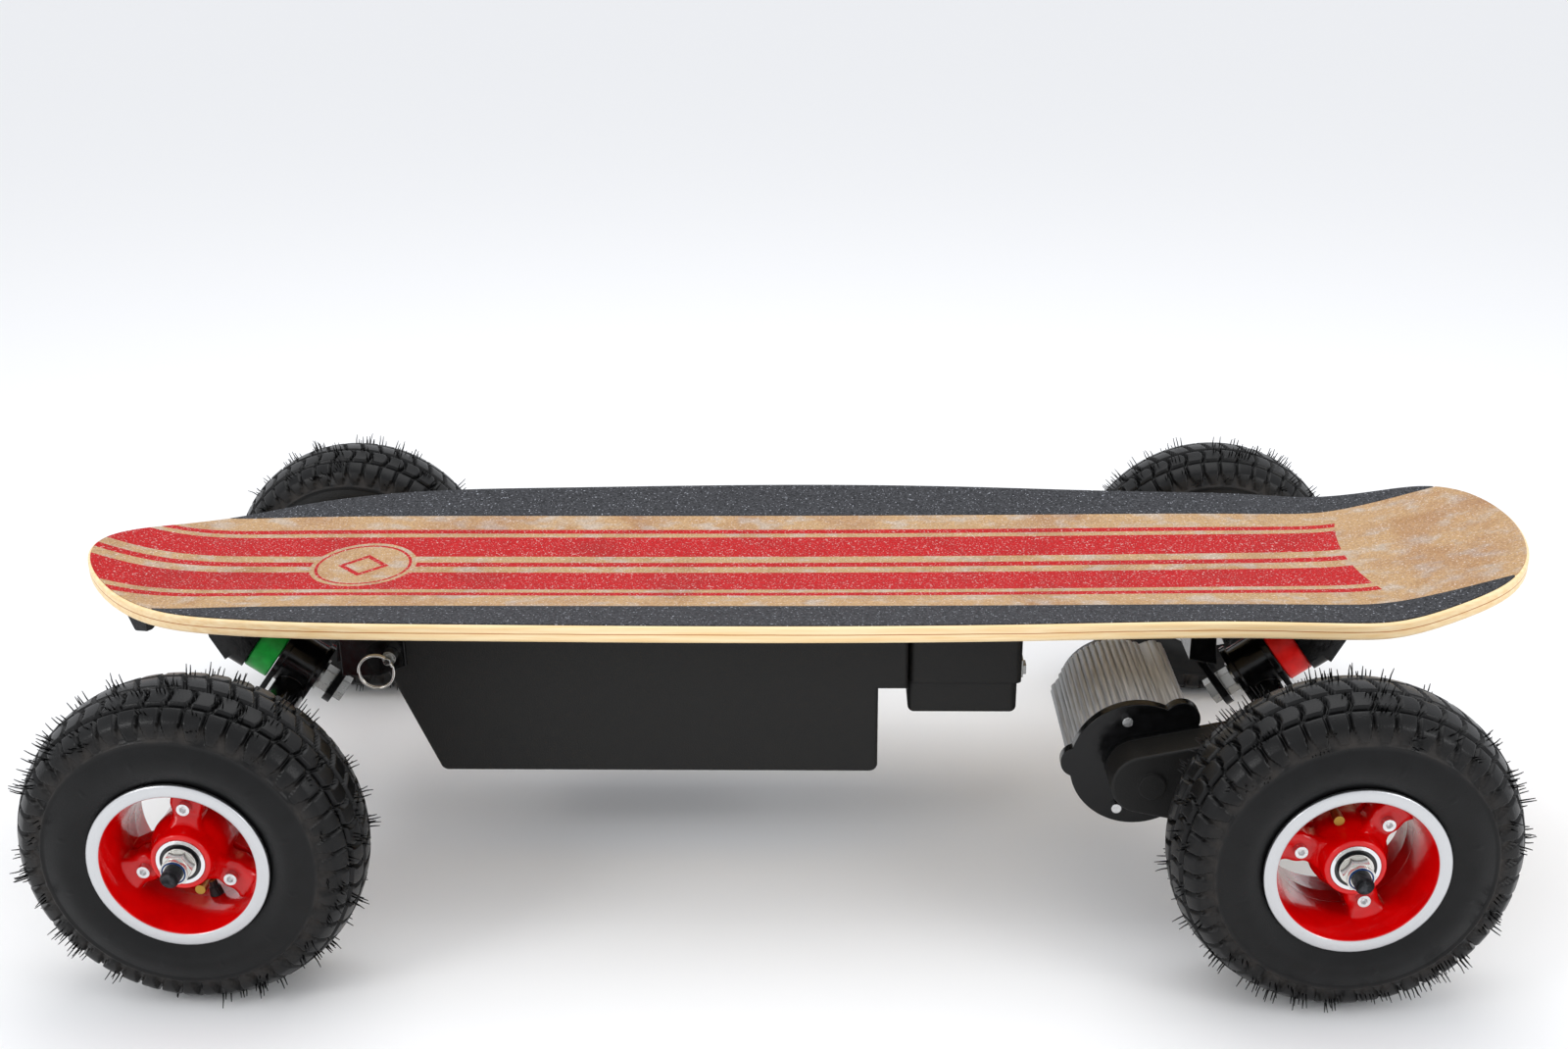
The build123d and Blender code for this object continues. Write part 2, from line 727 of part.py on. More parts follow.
# End cap: closes the motor's back and holds the shaft's far bearing in a low boss.
END_CAP_R = 40.0
END_BOSS_R = 14.0
with BuildPart() as motor_end_cap:
    with BuildSketch(Plane.XZ.offset(-MOTOR_BACK_Y)):
        with Locations((MOTOR_X, AXLE_Z)):
            Circle(END_CAP_R)
    extrude(amount=MOTOR_BACK_Y - END_CAP_Y)
    fillet(motor_end_cap.faces().sort_by(Axis.Y)[-1].edges(), 2)
    with BuildSketch(Plane.XZ.offset(-END_CAP_Y)):
        with Locations((MOTOR_X, AXLE_Z)):
            Circle(END_BOSS_R)
    extrude(amount=-3)
    with BuildSketch(Plane.XZ.offset(-MOTOR_BACK_Y)):
        with Locations((MOTOR_X, AXLE_Z)):
            Circle(SHAFT_R + RUNNING)
    extrude(amount=-SHAFT_IN_CAP - 1, mode=Mode.SUBTRACT)
save(motor_end_cap, "motor_end_cap")

# Belt guard: a shell open to the mount plate, with a hole for the wheel's pulley.
with BuildPart() as belt_guard:
    with BuildSketch(Plane.XZ.offset(-GUARD_Y)):
        belt_loop(GUARD_PINION_R, GUARD_WHEEL_R)
    extrude(amount=GUARD_Y - MOUNT_Y[0])
    fillet(belt_guard.faces().sort_by(Axis.Y)[0].edges(), 2)
    with BuildSketch(Plane.XZ.offset(-GUARD_Y - GUARD_WALL)):
        belt_loop(GUARD_PINION_R - GUARD_WALL, GUARD_WHEEL_R - GUARD_WALL)
    extrude(amount=GUARD_Y - MOUNT_Y[0] + GUARD_WALL, mode=Mode.SUBTRACT)
    with BuildSketch(Plane.XZ.offset(-GUARD_Y)):
        with Locations((REAR_X, AXLE_Z)):
            Circle(PULLEY_HOLE_R)
    extrude(amount=-GUARD_WALL, mode=Mode.SUBTRACT)
    with BuildSketch(Plane.XZ.offset(-GUARD_Y)):
        with Locations((MOTOR_X + 6, AXLE_Z)):
            Circle(9.5)
    extrude(amount=2.5)
save(belt_guard, "belt_guard")

with BuildPart() as drive_belt:
    with BuildSketch(Plane.XZ.offset(-BELT_Y[0])):
        belt_loop(PINION_R + BELT_THICKNESS, WHEEL_PULLEY_R + BELT_THICKNESS)
    extrude(amount=BELT_Y[0] - BELT_Y[1])
    with BuildSketch(Plane.XZ.offset(-BELT_Y[0])):
        belt_loop(PINION_R, WHEEL_PULLEY_R)
    extrude(amount=BELT_Y[0] - BELT_Y[1], mode=Mode.SUBTRACT)
save(drive_belt, "drive_belt")

# Pulley on the driven wheel: toothed ring, drum and flange bolted to the inner rim half.
DRUM_Y = -TRACK / 2 - SPIDER_BACK
with BuildPart() as wheel_pulley:
    with BuildSketch(Plane.XZ.offset(-DRUM_Y)):
        with Locations((REAR_X, AXLE_Z)):
            Circle(25)
    extrude(amount=DRUM_Y - BELT_Y[0])
    with BuildSketch(Plane.XZ.offset(-BELT_Y[0])):
        toothed_disc(REAR_X, WHEEL_TEETH, WHEEL_PULLEY_R - BELT_INSIDE)
    extrude(amount=BELT_Y[0] - BELT_Y[1])
    with BuildSketch(Plane.XZ.offset(-BELT_Y[0])):
        with Locations((REAR_X, AXLE_Z)):
            Circle(WHEEL_PULLEY_R + BELT_THICKNESS)
    extrude(amount=1.5)
    with BuildSketch(Plane.XZ.offset(-DRUM_Y)):
        with Locations((REAR_X, AXLE_Z)):
            Circle(HUB_R)
    extrude(amount=DRUM_Y + TRACK / 2 - HUB_FACE - 6, mode=Mode.SUBTRACT)
    with BuildSketch(Plane.XZ.offset(-DRUM_Y)):
        with Locations((REAR_X, AXLE_Z)):
            Circle(SLEEVE_R + GAP)
    extrude(amount=-120, mode=Mode.SUBTRACT)
save(wheel_pulley, "wheel_pulley")

# ---- battery and controller ----
with BuildPart() as battery_box:
    with BuildSketch(Plane.XZ):
        Polygon(*BOX_OUTLINE, align=None)
    extrude(amount=BOX_HALF_WIDTH, both=True)
    fillet(battery_box.edges().filter_by(Axis.Y).group_by(Axis.Z)[0], 6)
    fillet(battery_box.faces().filter_by(Axis.Y).edges().group_by(Axis.Z)[:-1], 3)
    with BuildSketch(Plane.XZ):
        Polygon(*BOX_OUTLINE, align=None)
        offset(amount=-BOX_WALL)
    extrude(amount=BOX_HALF_WIDTH - BOX_WALL, both=True, mode=Mode.SUBTRACT)
    with BuildSketch(Plane.XY.offset(BOX_TOP - BOX_WALL - 1)):
        with Locations(((BOX_OUTLINE[0][0] + BOX_OUTLINE[-1][0]) / 2 + 2, 0)):
            Rectangle(BOX_OUTLINE[-1][0] - BOX_OUTLINE[0][0] - 12, 2 * (BOX_HALF_WIDTH - BOX_WALL))
    extrude(amount=BOX_WALL + 2, mode=Mode.SUBTRACT)
    with BuildSketch(Plane.XZ.offset(BOX_HALF_WIDTH)):
        with Locations((PIN_X, PIN_Z)):
            Circle(PIN_R + GAP)
    extrude(amount=-2 * BOX_WALL, mode=Mode.SUBTRACT)
save(battery_box, "battery_box")

with BuildPart() as battery_lid:
    with BuildSketch(Plane.XY.offset(BOX_TOP)):
        with Locations(((BOX_OUTLINE[0][0] + BOX_OUTLINE[-1][0]) / 2, 0)):
            RectangleRounded(BOX_OUTLINE[-1][0] - BOX_OUTLINE[0][0], 2 * BOX_HALF_WIDTH, 4)
    extrude(amount=UNDERSIDE - BOX_TOP)
save(battery_lid, "battery_lid")

with BuildPart() as battery_cells:
    with BuildSketch(Plane.XY.offset(BOX_BOTTOM + BOX_WALL)):
        with Locations((-95.0, 0)):
            with GridLocations(CELL_SIZE[0] + 1.5, 1, CELL_COUNT, 1):
                Rectangle(CELL_SIZE[0], CELL_SIZE[1])
    extrude(amount=CELL_SIZE[2])
save(battery_cells, "battery_cells")

CONTROLLER_WALL = 3.0
CONTROLLER_MIDDLE = sum(CONTROLLER_X) / 2
with BuildPart() as controller_housing:
    with BuildSketch(Plane.XY.offset(CONTROLLER_SPLIT)):
        with Locations((CONTROLLER_MIDDLE, 0)):
            RectangleRounded(CONTROLLER_X[1] - CONTROLLER_X[0], 2 * CONTROLLER_HALF_WIDTH, 5)
    extrude(amount=UNDERSIDE - CONTROLLER_SPLIT)
    with BuildSketch(Plane.XY.offset(CONTROLLER_SPLIT)):
        with Locations((CONTROLLER_MIDDLE, 0)):
            RectangleRounded(
                CONTROLLER_X[1] - CONTROLLER_X[0] - 2 * CONTROLLER_WALL,
                2 * (CONTROLLER_HALF_WIDTH - CONTROLLER_WALL),
                3,
            )
    extrude(amount=UNDERSIDE - CONTROLLER_SPLIT - CONTROLLER_WALL, mode=Mode.SUBTRACT)
    with BuildSketch(Plane.XZ.offset(-CONTROLLER_HALF_WIDTH)):
        with Locations((SOCKET_X, SOCKET_Z)):
            Circle(9.5)
    extrude(amount=CONTROLLER_WALL, mode=Mode.SUBTRACT)
save(controller_housing, "controller_housing")

COVER_INSET = 3.0
with BuildPart() as controller_cover:
    with BuildSketch(Plane.XY.offset(CONTROLLER_BOTTOM)):
        with Locations((CONTROLLER_MIDDLE - COVER_INSET / 2, 0)):
            RectangleRounded(
                CONTROLLER_X[1] - CONTROLLER_X[0] - COVER_INSET, 2 * (CONTROLLER_HALF_WIDTH - 1), 5
            )
    extrude(amount=CONTROLLER_SPLIT - CONTROLLER_BOTTOM)
    fillet(controller_cover.faces().sort_by(Axis.Z)[0].edges(), 4.5)
    with BuildSketch(Plane.XY.offset(CONTROLLER_SPLIT)):
        with Locations((CONTROLLER_MIDDLE - COVER_INSET / 2, 0)):
            RectangleRounded(
                CONTROLLER_X[1] - CONTROLLER_X[0] - COVER_INSET - 2 * CONTROLLER_WALL,
                2 * (CONTROLLER_HALF_WIDTH - 1 - CONTROLLER_WALL),
                3,
            )
    extrude(amount=CONTROLLER_BOTTOM - CONTROLLER_SPLIT + CONTROLLER_WALL, mode=Mode.SUBTRACT)
save(controller_cover, "controller_cover")

# Circuit board with its row of capacitors and the block of power transistors.
BOARD_Z = 146.0
with BuildPart() as controller_board:
    with BuildSketch(Plane.XY.offset(BOARD_Z)):
        with Locations((CONTROLLER_MIDDLE - COVER_INSET / 2, 0)):
            Rectangle(72, 142)
    extrude(amount=1.6)
    with BuildSketch(Plane.XY.offset(BOARD_Z + 1.6)):
        with Locations((CONTROLLER_MIDDLE - 16, 0)):
            with GridLocations(1, 22, 1, 4):
                Circle(8)
        with Locations((CONTROLLER_MIDDLE + 14, 0)):
            Rectangle(18, 100)
    extrude(amount=20)
save(controller_board, "controller_board")

with BuildPart() as charge_socket:
    with BuildSketch(Plane.XZ.offset(-CONTROLLER_HALF_WIDTH)):
        with Locations((SOCKET_X, SOCKET_Z)):
            Circle(12.5)
    extrude(amount=-3)
    fillet(charge_socket.faces().sort_by(Axis.Y)[-1].edges(), 0.8)
    with BuildSketch(Plane.XZ.offset(-CONTROLLER_HALF_WIDTH)):
        with Locations((SOCKET_X, SOCKET_Z)):
            Circle(9.4)
    extrude(amount=SOCKET_DEPTH)
    with BuildSketch(Plane.XZ.offset(-CONTROLLER_HALF_WIDTH - 3)):
        with Locations((SOCKET_X, SOCKET_Z)):
            Circle(SOCKET_BORE_R)
    extrude(amount=SOCKET_DEPTH, mode=Mode.SUBTRACT)
save(charge_socket, "charge_socket")

# Steel draw clip that holds the controller's cover, on its rear wall.
with BuildPart() as cover_clip:
    with BuildSketch(Plane.YZ.offset(CONTROLLER_X[1])):
        with Locations((-62, 158)):
            RectangleRounded(16, 15, 2)
    extrude(amount=1.5)
    with BuildSketch(Plane.YZ.offset(CONTROLLER_X[1] + 1.5)):
        with Locations((-62, 156)):
            RectangleRounded(10, 8, 1.5)
    extrude(amount=2.5)
save(cover_clip, "cover_clip")

# ---- battery latch ----
LATCH_BLOCK_X = (-329.0, -311.5)
CHEEK_THICKNESS = 4.0
CHEEK_Y = -BOX_HALF_WIDTH - CHEEK_THICKNESS
with BuildPart() as latch_bracket:
    with BuildSketch(Plane.XY.offset(160)):
        with Locations((sum(LATCH_BLOCK_X) / 2, 0)):
            Rectangle(LATCH_BLOCK_X[1] - LATCH_BLOCK_X[0], -2 * CHEEK_Y)
    extrude(amount=UNDERSIDE - 160)
    with BuildSketch(Plane.XZ.offset(-CHEEK_Y)):
        with BuildLine():
            Polyline(
                (LATCH_BLOCK_X[0], 160), (LATCH_BLOCK_X[1] + 10, 160), (PIN_X + 10, PIN_Z - 10),
                (PIN_X + 10, PIN_Z + 10), (LATCH_BLOCK_X[1], UNDERSIDE), (LATCH_BLOCK_X[0], UNDERSIDE),
                close=True,
            )
        make_face()
    extrude(amount=-CHEEK_THICKNESS)
    with BuildSketch(Plane.XZ.offset(-CHEEK_Y)):
        with Locations((PIN_X, PIN_Z)):
            Circle(PIN_R + RUNNING)
    extrude(amount=-CHEEK_THICKNESS, mode=Mode.SUBTRACT)
save(latch_bracket, "latch_bracket")

PIN_TIP_Y = -74.0
EYE_R = 3.0
with BuildPart() as latch_pin:
    with BuildSketch(Plane.XZ.offset(-PIN_HEAD_Y - 3)):
        with Locations((PIN_X, PIN_Z)):
            Circle(PIN_R)
    extrude(amount=PIN_HEAD_Y + 3 - PIN_TIP_Y)
    chamfer(latch_pin.faces().sort_by(Axis.Y)[-1].edges(), 1)
    with BuildSketch(Plane.XZ.offset(-CHEEK_Y + GAP)):
        with Locations((PIN_X, PIN_Z)):
            Circle(5)
    extrude(amount=CHEEK_Y - PIN_HEAD_Y - GAP - 3)
    with BuildSketch(Plane.XZ.offset(-PIN_HEAD_Y - 3)):
        with Locations((PIN_X, PIN_Z)):
            Circle(EYE_R)
    extrude(amount=6.4)
    fillet(latch_pin.faces().sort_by(Axis.Y)[0].edges(), 1)
    with BuildSketch(Plane((PIN_X, PIN_HEAD_Y, PIN_Z), z_dir=(1, 0, -1))):
        Circle(RING_WIRE_R + 0.7)
    extrude(amount=10, both=True, mode=Mode.SUBTRACT)
save(latch_pin, "latch_pin")

RING_X = PIN_X - RING_R * cos(radians(45))
RING_Z = PIN_Z - RING_R * sin(radians(45))
with BuildPart() as pull_ring:
    with BuildSketch(Plane((RING_X + RING_R, PIN_HEAD_Y, RING_Z), z_dir=(0, 0, 1))):
        Circle(RING_WIRE_R)
    revolve(axis=Axis((RING_X, 0, RING_Z), (0, 1, 0)))
save(pull_ring, "pull_ring")
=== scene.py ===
# %% [markdown]
# # An off-road electric skateboard
#
# The parts with a real shape and size arrive as a fixed frame: deck, trucks, wheels, motor and
# boxes.  This notebook gives them their looks.  Everything is in metres in the frame's own axes:
# +X runs from the nose to the tail, +Y to the board's right, +Z up, with the ground at zero.
# Parts whose shape is already right only get a finish.  Where the surface is the point, as on a
# tyre's tread or the ribs of the motor, a finer surface is worked out and stands in for the
# plain solid.

# %% Load the frame
import json
import math
import bmesh
import bpy
import numpy as np
from mathutils import Matrix, Vector


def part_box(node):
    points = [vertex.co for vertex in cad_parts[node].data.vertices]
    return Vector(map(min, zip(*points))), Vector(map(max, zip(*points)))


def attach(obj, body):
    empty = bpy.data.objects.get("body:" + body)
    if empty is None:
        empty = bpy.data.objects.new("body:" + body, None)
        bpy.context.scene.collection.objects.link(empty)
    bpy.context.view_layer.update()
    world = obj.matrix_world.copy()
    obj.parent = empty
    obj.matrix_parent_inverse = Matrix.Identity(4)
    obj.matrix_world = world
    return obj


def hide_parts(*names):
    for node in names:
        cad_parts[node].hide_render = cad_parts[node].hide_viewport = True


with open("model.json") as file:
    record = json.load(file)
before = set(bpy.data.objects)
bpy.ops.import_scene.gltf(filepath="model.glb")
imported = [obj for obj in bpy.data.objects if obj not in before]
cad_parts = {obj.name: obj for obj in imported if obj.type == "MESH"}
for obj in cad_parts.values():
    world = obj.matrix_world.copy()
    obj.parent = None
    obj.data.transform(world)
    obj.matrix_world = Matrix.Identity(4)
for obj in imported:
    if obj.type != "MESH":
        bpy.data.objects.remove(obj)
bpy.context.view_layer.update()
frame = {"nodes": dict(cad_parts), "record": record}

MM = 0.001
TAU = 2 * math.pi
random = np.random.default_rng(7)

# %% [markdown]
# ## Surfaces from arrays
#
# A new piece is a function of two parameters, worked out on a grid of points.  Two neighbouring
# rows and two neighbouring columns make one four-cornered face.  Where the surface runs round
# and meets itself, the last row or column joins the first.  A piece may be made of several such
# grids, which are put into one mesh together.

# %% Grids into meshes
def grid(points, close_rows=False, close_columns=False):
    """Points of shape (rows, columns, 3) and the quads between neighbours, as two flat arrays."""
    rows, columns = points.shape[:2]
    index = np.arange(rows * columns).reshape(rows, columns)
    if close_rows:
        index = np.vstack([index, index[:1]])
    if close_columns:
        index = np.hstack([index, index[:, :1]])
    quads = np.stack([index[:-1, :-1], index[1:, :-1], index[1:, 1:], index[:-1, 1:]], axis=-1)
    return points.reshape(-1, 3), quads.reshape(-1, 4)


def mesh_of(name, *grids, weld_mm=0.0, smooth=True, attributes=None):
    """One mesh from several grids in metres; welding closes seams and poles, then faces turn outwards."""
    starts = np.cumsum([0] + [len(points) for points, _ in grids[:-1]])
    points = np.vstack([points for points, _ in grids])
    quads = np.vstack([quads + start for (_, quads), start in zip(grids, starts)])
    mesh = bpy.data.meshes.new(name)
    mesh.vertices.add(len(points))
    mesh.vertices.foreach_set("co", points.astype(np.float32).ravel())
    mesh.loops.add(quads.size)
    mesh.loops.foreach_set("vertex_index", quads.astype(np.int32).ravel())
    mesh.polygons.add(len(quads))
    mesh.polygons.foreach_set("loop_start", np.arange(0, quads.size, 4, dtype=np.int32))
    mesh.update(calc_edges=True)
    for key, values in (attributes or {}).items():
        mesh.attributes.new(key, "FLOAT", "POINT").data.foreach_set("value",
                                                                    values.astype(np.float32).ravel())
    work = bmesh.new()
    work.from_mesh(mesh)
    if weld_mm:
        bmesh.ops.remove_doubles(work, verts=work.verts, dist=weld_mm * MM)
        bmesh.ops.dissolve_degenerate(work, edges=work.edges, dist=weld_mm * MM / 10)
    bmesh.ops.recalc_face_normals(work, faces=work.faces)
    work.to_mesh(mesh)
    work.free()
    mesh.polygons.foreach_set("use_smooth", np.full(len(mesh.polygons), smooth))
    return mesh


def piece(name, mesh, finish, body, replaces=()):
    """Put a finished mesh in the scene with its finish, on its body."""
    thing = bpy.data.objects.new(name, mesh)
    bpy.context.scene.collection.objects.link(thing)
    mesh.materials.append(finish)
    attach(thing, body)
    if replaces:
        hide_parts(*replaces)
    print(name, len(mesh.polygons), "faces")
    return thing


# %% Smooth curves through points
def curve_through(at, values, places, period=None):
    """Cubic through (at, values), read at places: continuous in slope and bend.

    It solves for the bends at the points so that the slopes of neighbouring cubics agree; without
    a period the two ends are straight.
    """
    at, values = np.asarray(at, float), np.asarray(values, float)
    if period:
        at, values = np.append(at, at[0] + period), np.append(values, values[0])
    step = np.diff(at)
    slope = np.diff(values) / step
    count = len(at)
    system, right = np.zeros((count, count)), np.zeros(count)
    inside = np.arange(1, count - 1)
    system[inside, inside - 1] = step[:-1]
    system[inside, inside] = 2 * (step[:-1] + step[1:])
    system[inside, inside + 1] = step[1:]
    right[inside] = 6 * np.diff(slope)
    system[0, 0] = system[-1, -1] = 1
    if period:
        system[-1, 0] = -1
        system[0, [0, 1, -2, -1]] = (2 * step[0], step[0], step[-1], 2 * step[-1])
        right[0] = 6 * (slope[0] - slope[-1])
    bend = np.linalg.solve(system, right)
    if period:
        places = (places - at[0]) % period + at[0]
    k = np.clip(np.searchsorted(at, places, side="right") - 1, 0, count - 2)
    left, rest, width = places - at[k], at[k + 1] - places, step[k]
    return (
        (bend[k] * rest**3 + bend[k + 1] * left**3) / (6 * width)
        + (values[k] / width - bend[k] * width / 6) * rest
        + (values[k + 1] / width - bend[k + 1] * width / 6) * left
    )


print("a cubic through three points on a line gives", curve_through([0, 1, 2], [0, 1, 2], np.array([1.5])))

# %% [markdown]
# ## Materials from nodes
#
# Each material starts from what the real one is and how its surface was made.  One function adds
# a node with its settings and links; a second makes a new material with its shader's own sockets
# set; a third lays noise of a real size in millimetres as patches.  The engineering solids have
# sharp edges, but a real part never has, so the light is rounded over them by about a millimetre.

# %% Colours and nodes
def rgb(text):
    """An sRGB hex colour as linear red, green, blue and 1."""
    value = np.array([int(text[i:i + 2], 16) for i in (0, 2, 4)]) / 255
    return (*np.where(value <= 0.04045, value / 12.92, ((value + 0.055) / 1.055) ** 2.4), 1.0)


def add(tree, kind, sockets=None, out=0, **settings):
    """Add a node, set its properties, fill or link its sockets, and return one of its outputs."""
    made = tree.nodes.new("ShaderNode" + kind)
    for key, value in settings.items():
        setattr(made, key, value)
    for key, value in (sockets or {}).items():
        if isinstance(value, bpy.types.NodeSocket):
            tree.links.new(value, made.inputs[key])
        else:
            made.inputs[key].default_value = value
    return made.outputs[out]


def finish(name, colour, metallic, roughness, **sockets):
    """A new material, its node tree and its shader, with the shader's own sockets set."""
    made = bpy.data.materials.new(name)
    made.use_nodes = True
    shader = made.node_tree.nodes["Principled BSDF"]
    shader.inputs["Base Color"].default_value = rgb(colour)
    shader.inputs["Metallic"].default_value = metallic
    shader.inputs["Roughness"].default_value = roughness
    for key, value in sockets.items():
        shader.inputs[key.replace("_", " ")].default_value = value
    return made, made.node_tree, shader


def wire(shader, **outputs):
    """Link outputs into the shader's sockets."""
    for key, value in outputs.items():
        shader.id_data.links.new(value, shader.inputs[key.replace("_", " ")])


def patches(tree, size_mm, low, high, to_low=0.0, to_high=1.0, detail=3.0, stretch=(1, 1, 1)):
    """Noise about size_mm across, read from low to high and given between to_low and to_high."""
    here = add(tree, "TexCoord", out="Object")
    spread = add(tree, "Mapping", {"Vector": here, "Scale": [1 / (size_mm * MM * s) for s in stretch]})
    cloud = add(tree, "TexNoise", {"Vector": spread, "Scale": 1.0, "Detail": detail})
    return add(tree, "MapRange", {"Value": cloud, "From Min": low, "From Max": high,
                                  "To Min": to_low, "To Max": to_high})


def relief(shader, height, depth_mm, round_mm=0.0):
    """Bend the light by a height of depth_mm, over edges that look rounded by round_mm."""
    tree = shader.id_data
    sockets = {"Height": height, "Distance": depth_mm * MM}
    if round_mm:
        sockets["Normal"] = add(tree, "Bevel", {"Radius": round_mm * MM}, samples=6)
    wire(shader, Normal=add(tree, "Bump", sockets))


FINISHES = {}
print("red enamel in linear light:", [round(x, 3) for x in rgb("DD0000")])

# %% [markdown]
# ## Camera, floor and light
#
# The camera stands in front of the long side, 0.72 m up, and looks down by 23.5 degrees through
# a 42 mm lens.  The view is shifted up so that the board sits in the lower part of the frame.
# The light is a bright studio: a large soft panel overhead, two smaller ones at the front, and
# bright surroundings, so dark parts still show their edges.

# %% Camera
CAMERA_PLACE = (0.0262, -1.293, 0.7242)
down, turn, roll = (math.radians(angle) for angle in (23.55, 1.53, -0.5))
camera = bpy.data.objects.new("camera", bpy.data.cameras.new("camera"))
bpy.context.scene.collection.objects.link(camera)
bpy.context.scene.camera = camera
camera.matrix_world = (
    Matrix.Translation(CAMERA_PLACE) @ Matrix.Rotation(turn, 4, "Z")
    @ Matrix.Rotation(math.pi / 2 - down, 4, "X") @ Matrix.Rotation(roll, 4, "Z")
)
camera.data.sensor_width = 36.0
camera.data.lens = 42.0
camera.data.shift_y = 0.0656
camera.data.clip_start = 0.02
print("camera", [round(x, 3) for x in camera.matrix_world.translation])


# %% Light
def panel(name, place, aim, width, height, power):
    """A soft rectangular light that faces a point."""
    light = bpy.data.lights.new(name, "AREA")
    light.shape, light.size, light.size_y, light.energy = "RECTANGLE", width, height, power
    lamp = bpy.data.objects.new(name, light)
    bpy.context.scene.collection.objects.link(lamp)
    lamp.location = place
    lamp.rotation_euler = (Vector(aim) - Vector(place)).to_track_quat("-Z", "Y").to_euler()


panel("top_panel", (0.1, 0.4, 1.9), (0, 0, 0.1), 2.0, 1.2, 12)
panel("left_panel", (-1.5, -1.4, 1.3), (-0.2, 0, 0.1), 0.7, 0.7, 9)
panel("right_panel", (1.7, -1.3, 1.2), (0.2, 0, 0.1), 0.7, 0.7, 8)
world = bpy.data.worlds.new("studio")
bpy.context.scene.world = world
world.use_nodes = True
world.node_tree.nodes["Background"].inputs["Color"].default_value = rgb("F6F8FC")
world.node_tree.nodes["Background"].inputs["Strength"].default_value = 1.0
bpy.context.scene.view_settings.view_transform = "Standard"

# %% Floor
FLOOR_HALF = 8.0
corners = np.array([[[-1, -1, 0], [-1, 1, 0]], [[1, -1, 0], [1, 1, 0]]]) * FLOOR_HALF
floor = bpy.data.objects.new("floor", mesh_of("floor", grid(corners)))
bpy.context.scene.collection.objects.link(floor)
floor.data.materials.append(finish("matt_paper_floor", "F4F4F4", 0.0, 0.95)[0])
print("floor", 2 * FLOOR_HALF, "m square")

# %% [markdown]
# ## The deck's shape
#
# The deck is pressed from maple veneers.  It is dished across, so both long edges stand a
# little higher than the middle, and both ends sweep up.  Its top is therefore a height along
# the middle plus a rise that grows with the square of the distance from it.  Its plan is one
# smooth closed curve through a few points.

# %% Deck outline and height
DECK_THICKNESS = 12.5
STATION_HALF_WIDTH = 160.0
STATION_X = (-560, -500, -455, -415, -350, -200, 60, 230, 330, 385, 417, 448, 505, 560)
STATION_Z = (238, 218.6, 212.3, 211.3, 211.3, 211.3, 211.8, 213.5, 214.9, 216, 218.3, 225, 241.3, 256.5)
STATION_RISE = (0.4, 1.2, 6, 11, 14.6, 16, 16, 14.5, 12, 8, 4.5, 1.6, 0.4, 0.4)
HALF_OUTLINE = np.array([
    (-535.5, 0), (-530, 27), (-514, 54), (-495.5, 73), (-455.5, 99), (-405, 120), (-335, 136),
    (-215, 144), (-15, 148.5), (150, 144), (304, 135), (384, 133), (425, 128), (465, 118),
    (500, 103), (519, 80), (531, 45), (535.5, 0),
])


def deck_top(x, y):
    """Height of the deck's top in mm: middle height plus rise times (y over half width) squared."""
    rise = curve_through(STATION_X, STATION_RISE, x)
    return curve_through(STATION_X, STATION_Z, x) + rise * (y / STATION_HALF_WIDTH) ** 2


def outline(count):
    """Closed curve round the deck by chord length, and its inward normals, as (count, 2) arrays."""
    points = np.vstack([HALF_OUTLINE, HALF_OUTLINE[-2:0:-1] * (1, -1)])
    chord = np.hypot(*(np.roll(points, -1, axis=0) - points).T)
    at = np.concatenate([[0], np.cumsum(chord)[:-1]])
    places = np.arange(count) * chord.sum() / count
    around = np.stack([curve_through(at, points[:, k], places, chord.sum()) for k in (0, 1)], axis=1)
    along = np.roll(around, -1, axis=0) - np.roll(around, 1, axis=0)
    inward = np.stack([along[:, 1], -along[:, 0]], axis=1) / np.hypot(*along.T)[:, None]
    return around, inward


EDGE, INWARD = outline(900)
print("deck", np.ptp(EDGE[:, 0]).round(1), "x", np.ptp(EDGE[:, 1]).round(1), "mm")

# %% [markdown]
# The core is one closed shell.  A short profile, from the middle over the rounded top edge, down
# the side and back under to the middle, is carried round the outline.  Each point keeps its depth
# below the top, and the finish draws the glue lines between the veneers from that depth.

# %% Deck core
EDGE_ROUND = 2.4


def deck_core():
    """Closed shell of the deck.

    The rim's points lie at the outline moved inwards, and down through two quarter rounds; the
    inner rings are blends between the rim and a short line along the middle of the deck.
    """
    quarter = np.linspace(0, math.pi / 2, 6)
    inset = EDGE_ROUND * np.concatenate([1 - np.sin(quarter), [0, 0], 1 - np.cos(quarter)])
    depth = np.concatenate([
        EDGE_ROUND * (1 - np.cos(quarter)),
        [DECK_THICKNESS / 3, DECK_THICKNESS * 2 / 3],
        DECK_THICKNESS - EDGE_ROUND * (1 - np.sin(quarter)),
    ])
    rim = EDGE[None] + INWARD[None] * inset[:, None, None]
    middle = np.stack([EDGE[:, 0] * 0.9, 0 * EDGE[:, 1]], axis=1)
    share = np.linspace(0, 1, 15)[:-1, None, None]
    top = middle + share * (rim[0] - middle)
    bottom = (middle + share * (rim[-1] - middle))[::-1]
    flat = np.concatenate([top, rim, bottom])
    down = np.concatenate([np.zeros(len(top)), depth, np.full(len(bottom), DECK_THICKNESS)])
    down = np.repeat(down[:, None], len(EDGE), axis=1)
    height = deck_top(flat[..., 0], flat[..., 1]) - down
    points = np.concatenate([flat, height[..., None]], axis=-1) * MM
    return mesh_of("deck_core", grid(points, close_columns=True), weld_mm=0.02,
                   attributes={"depth": down})


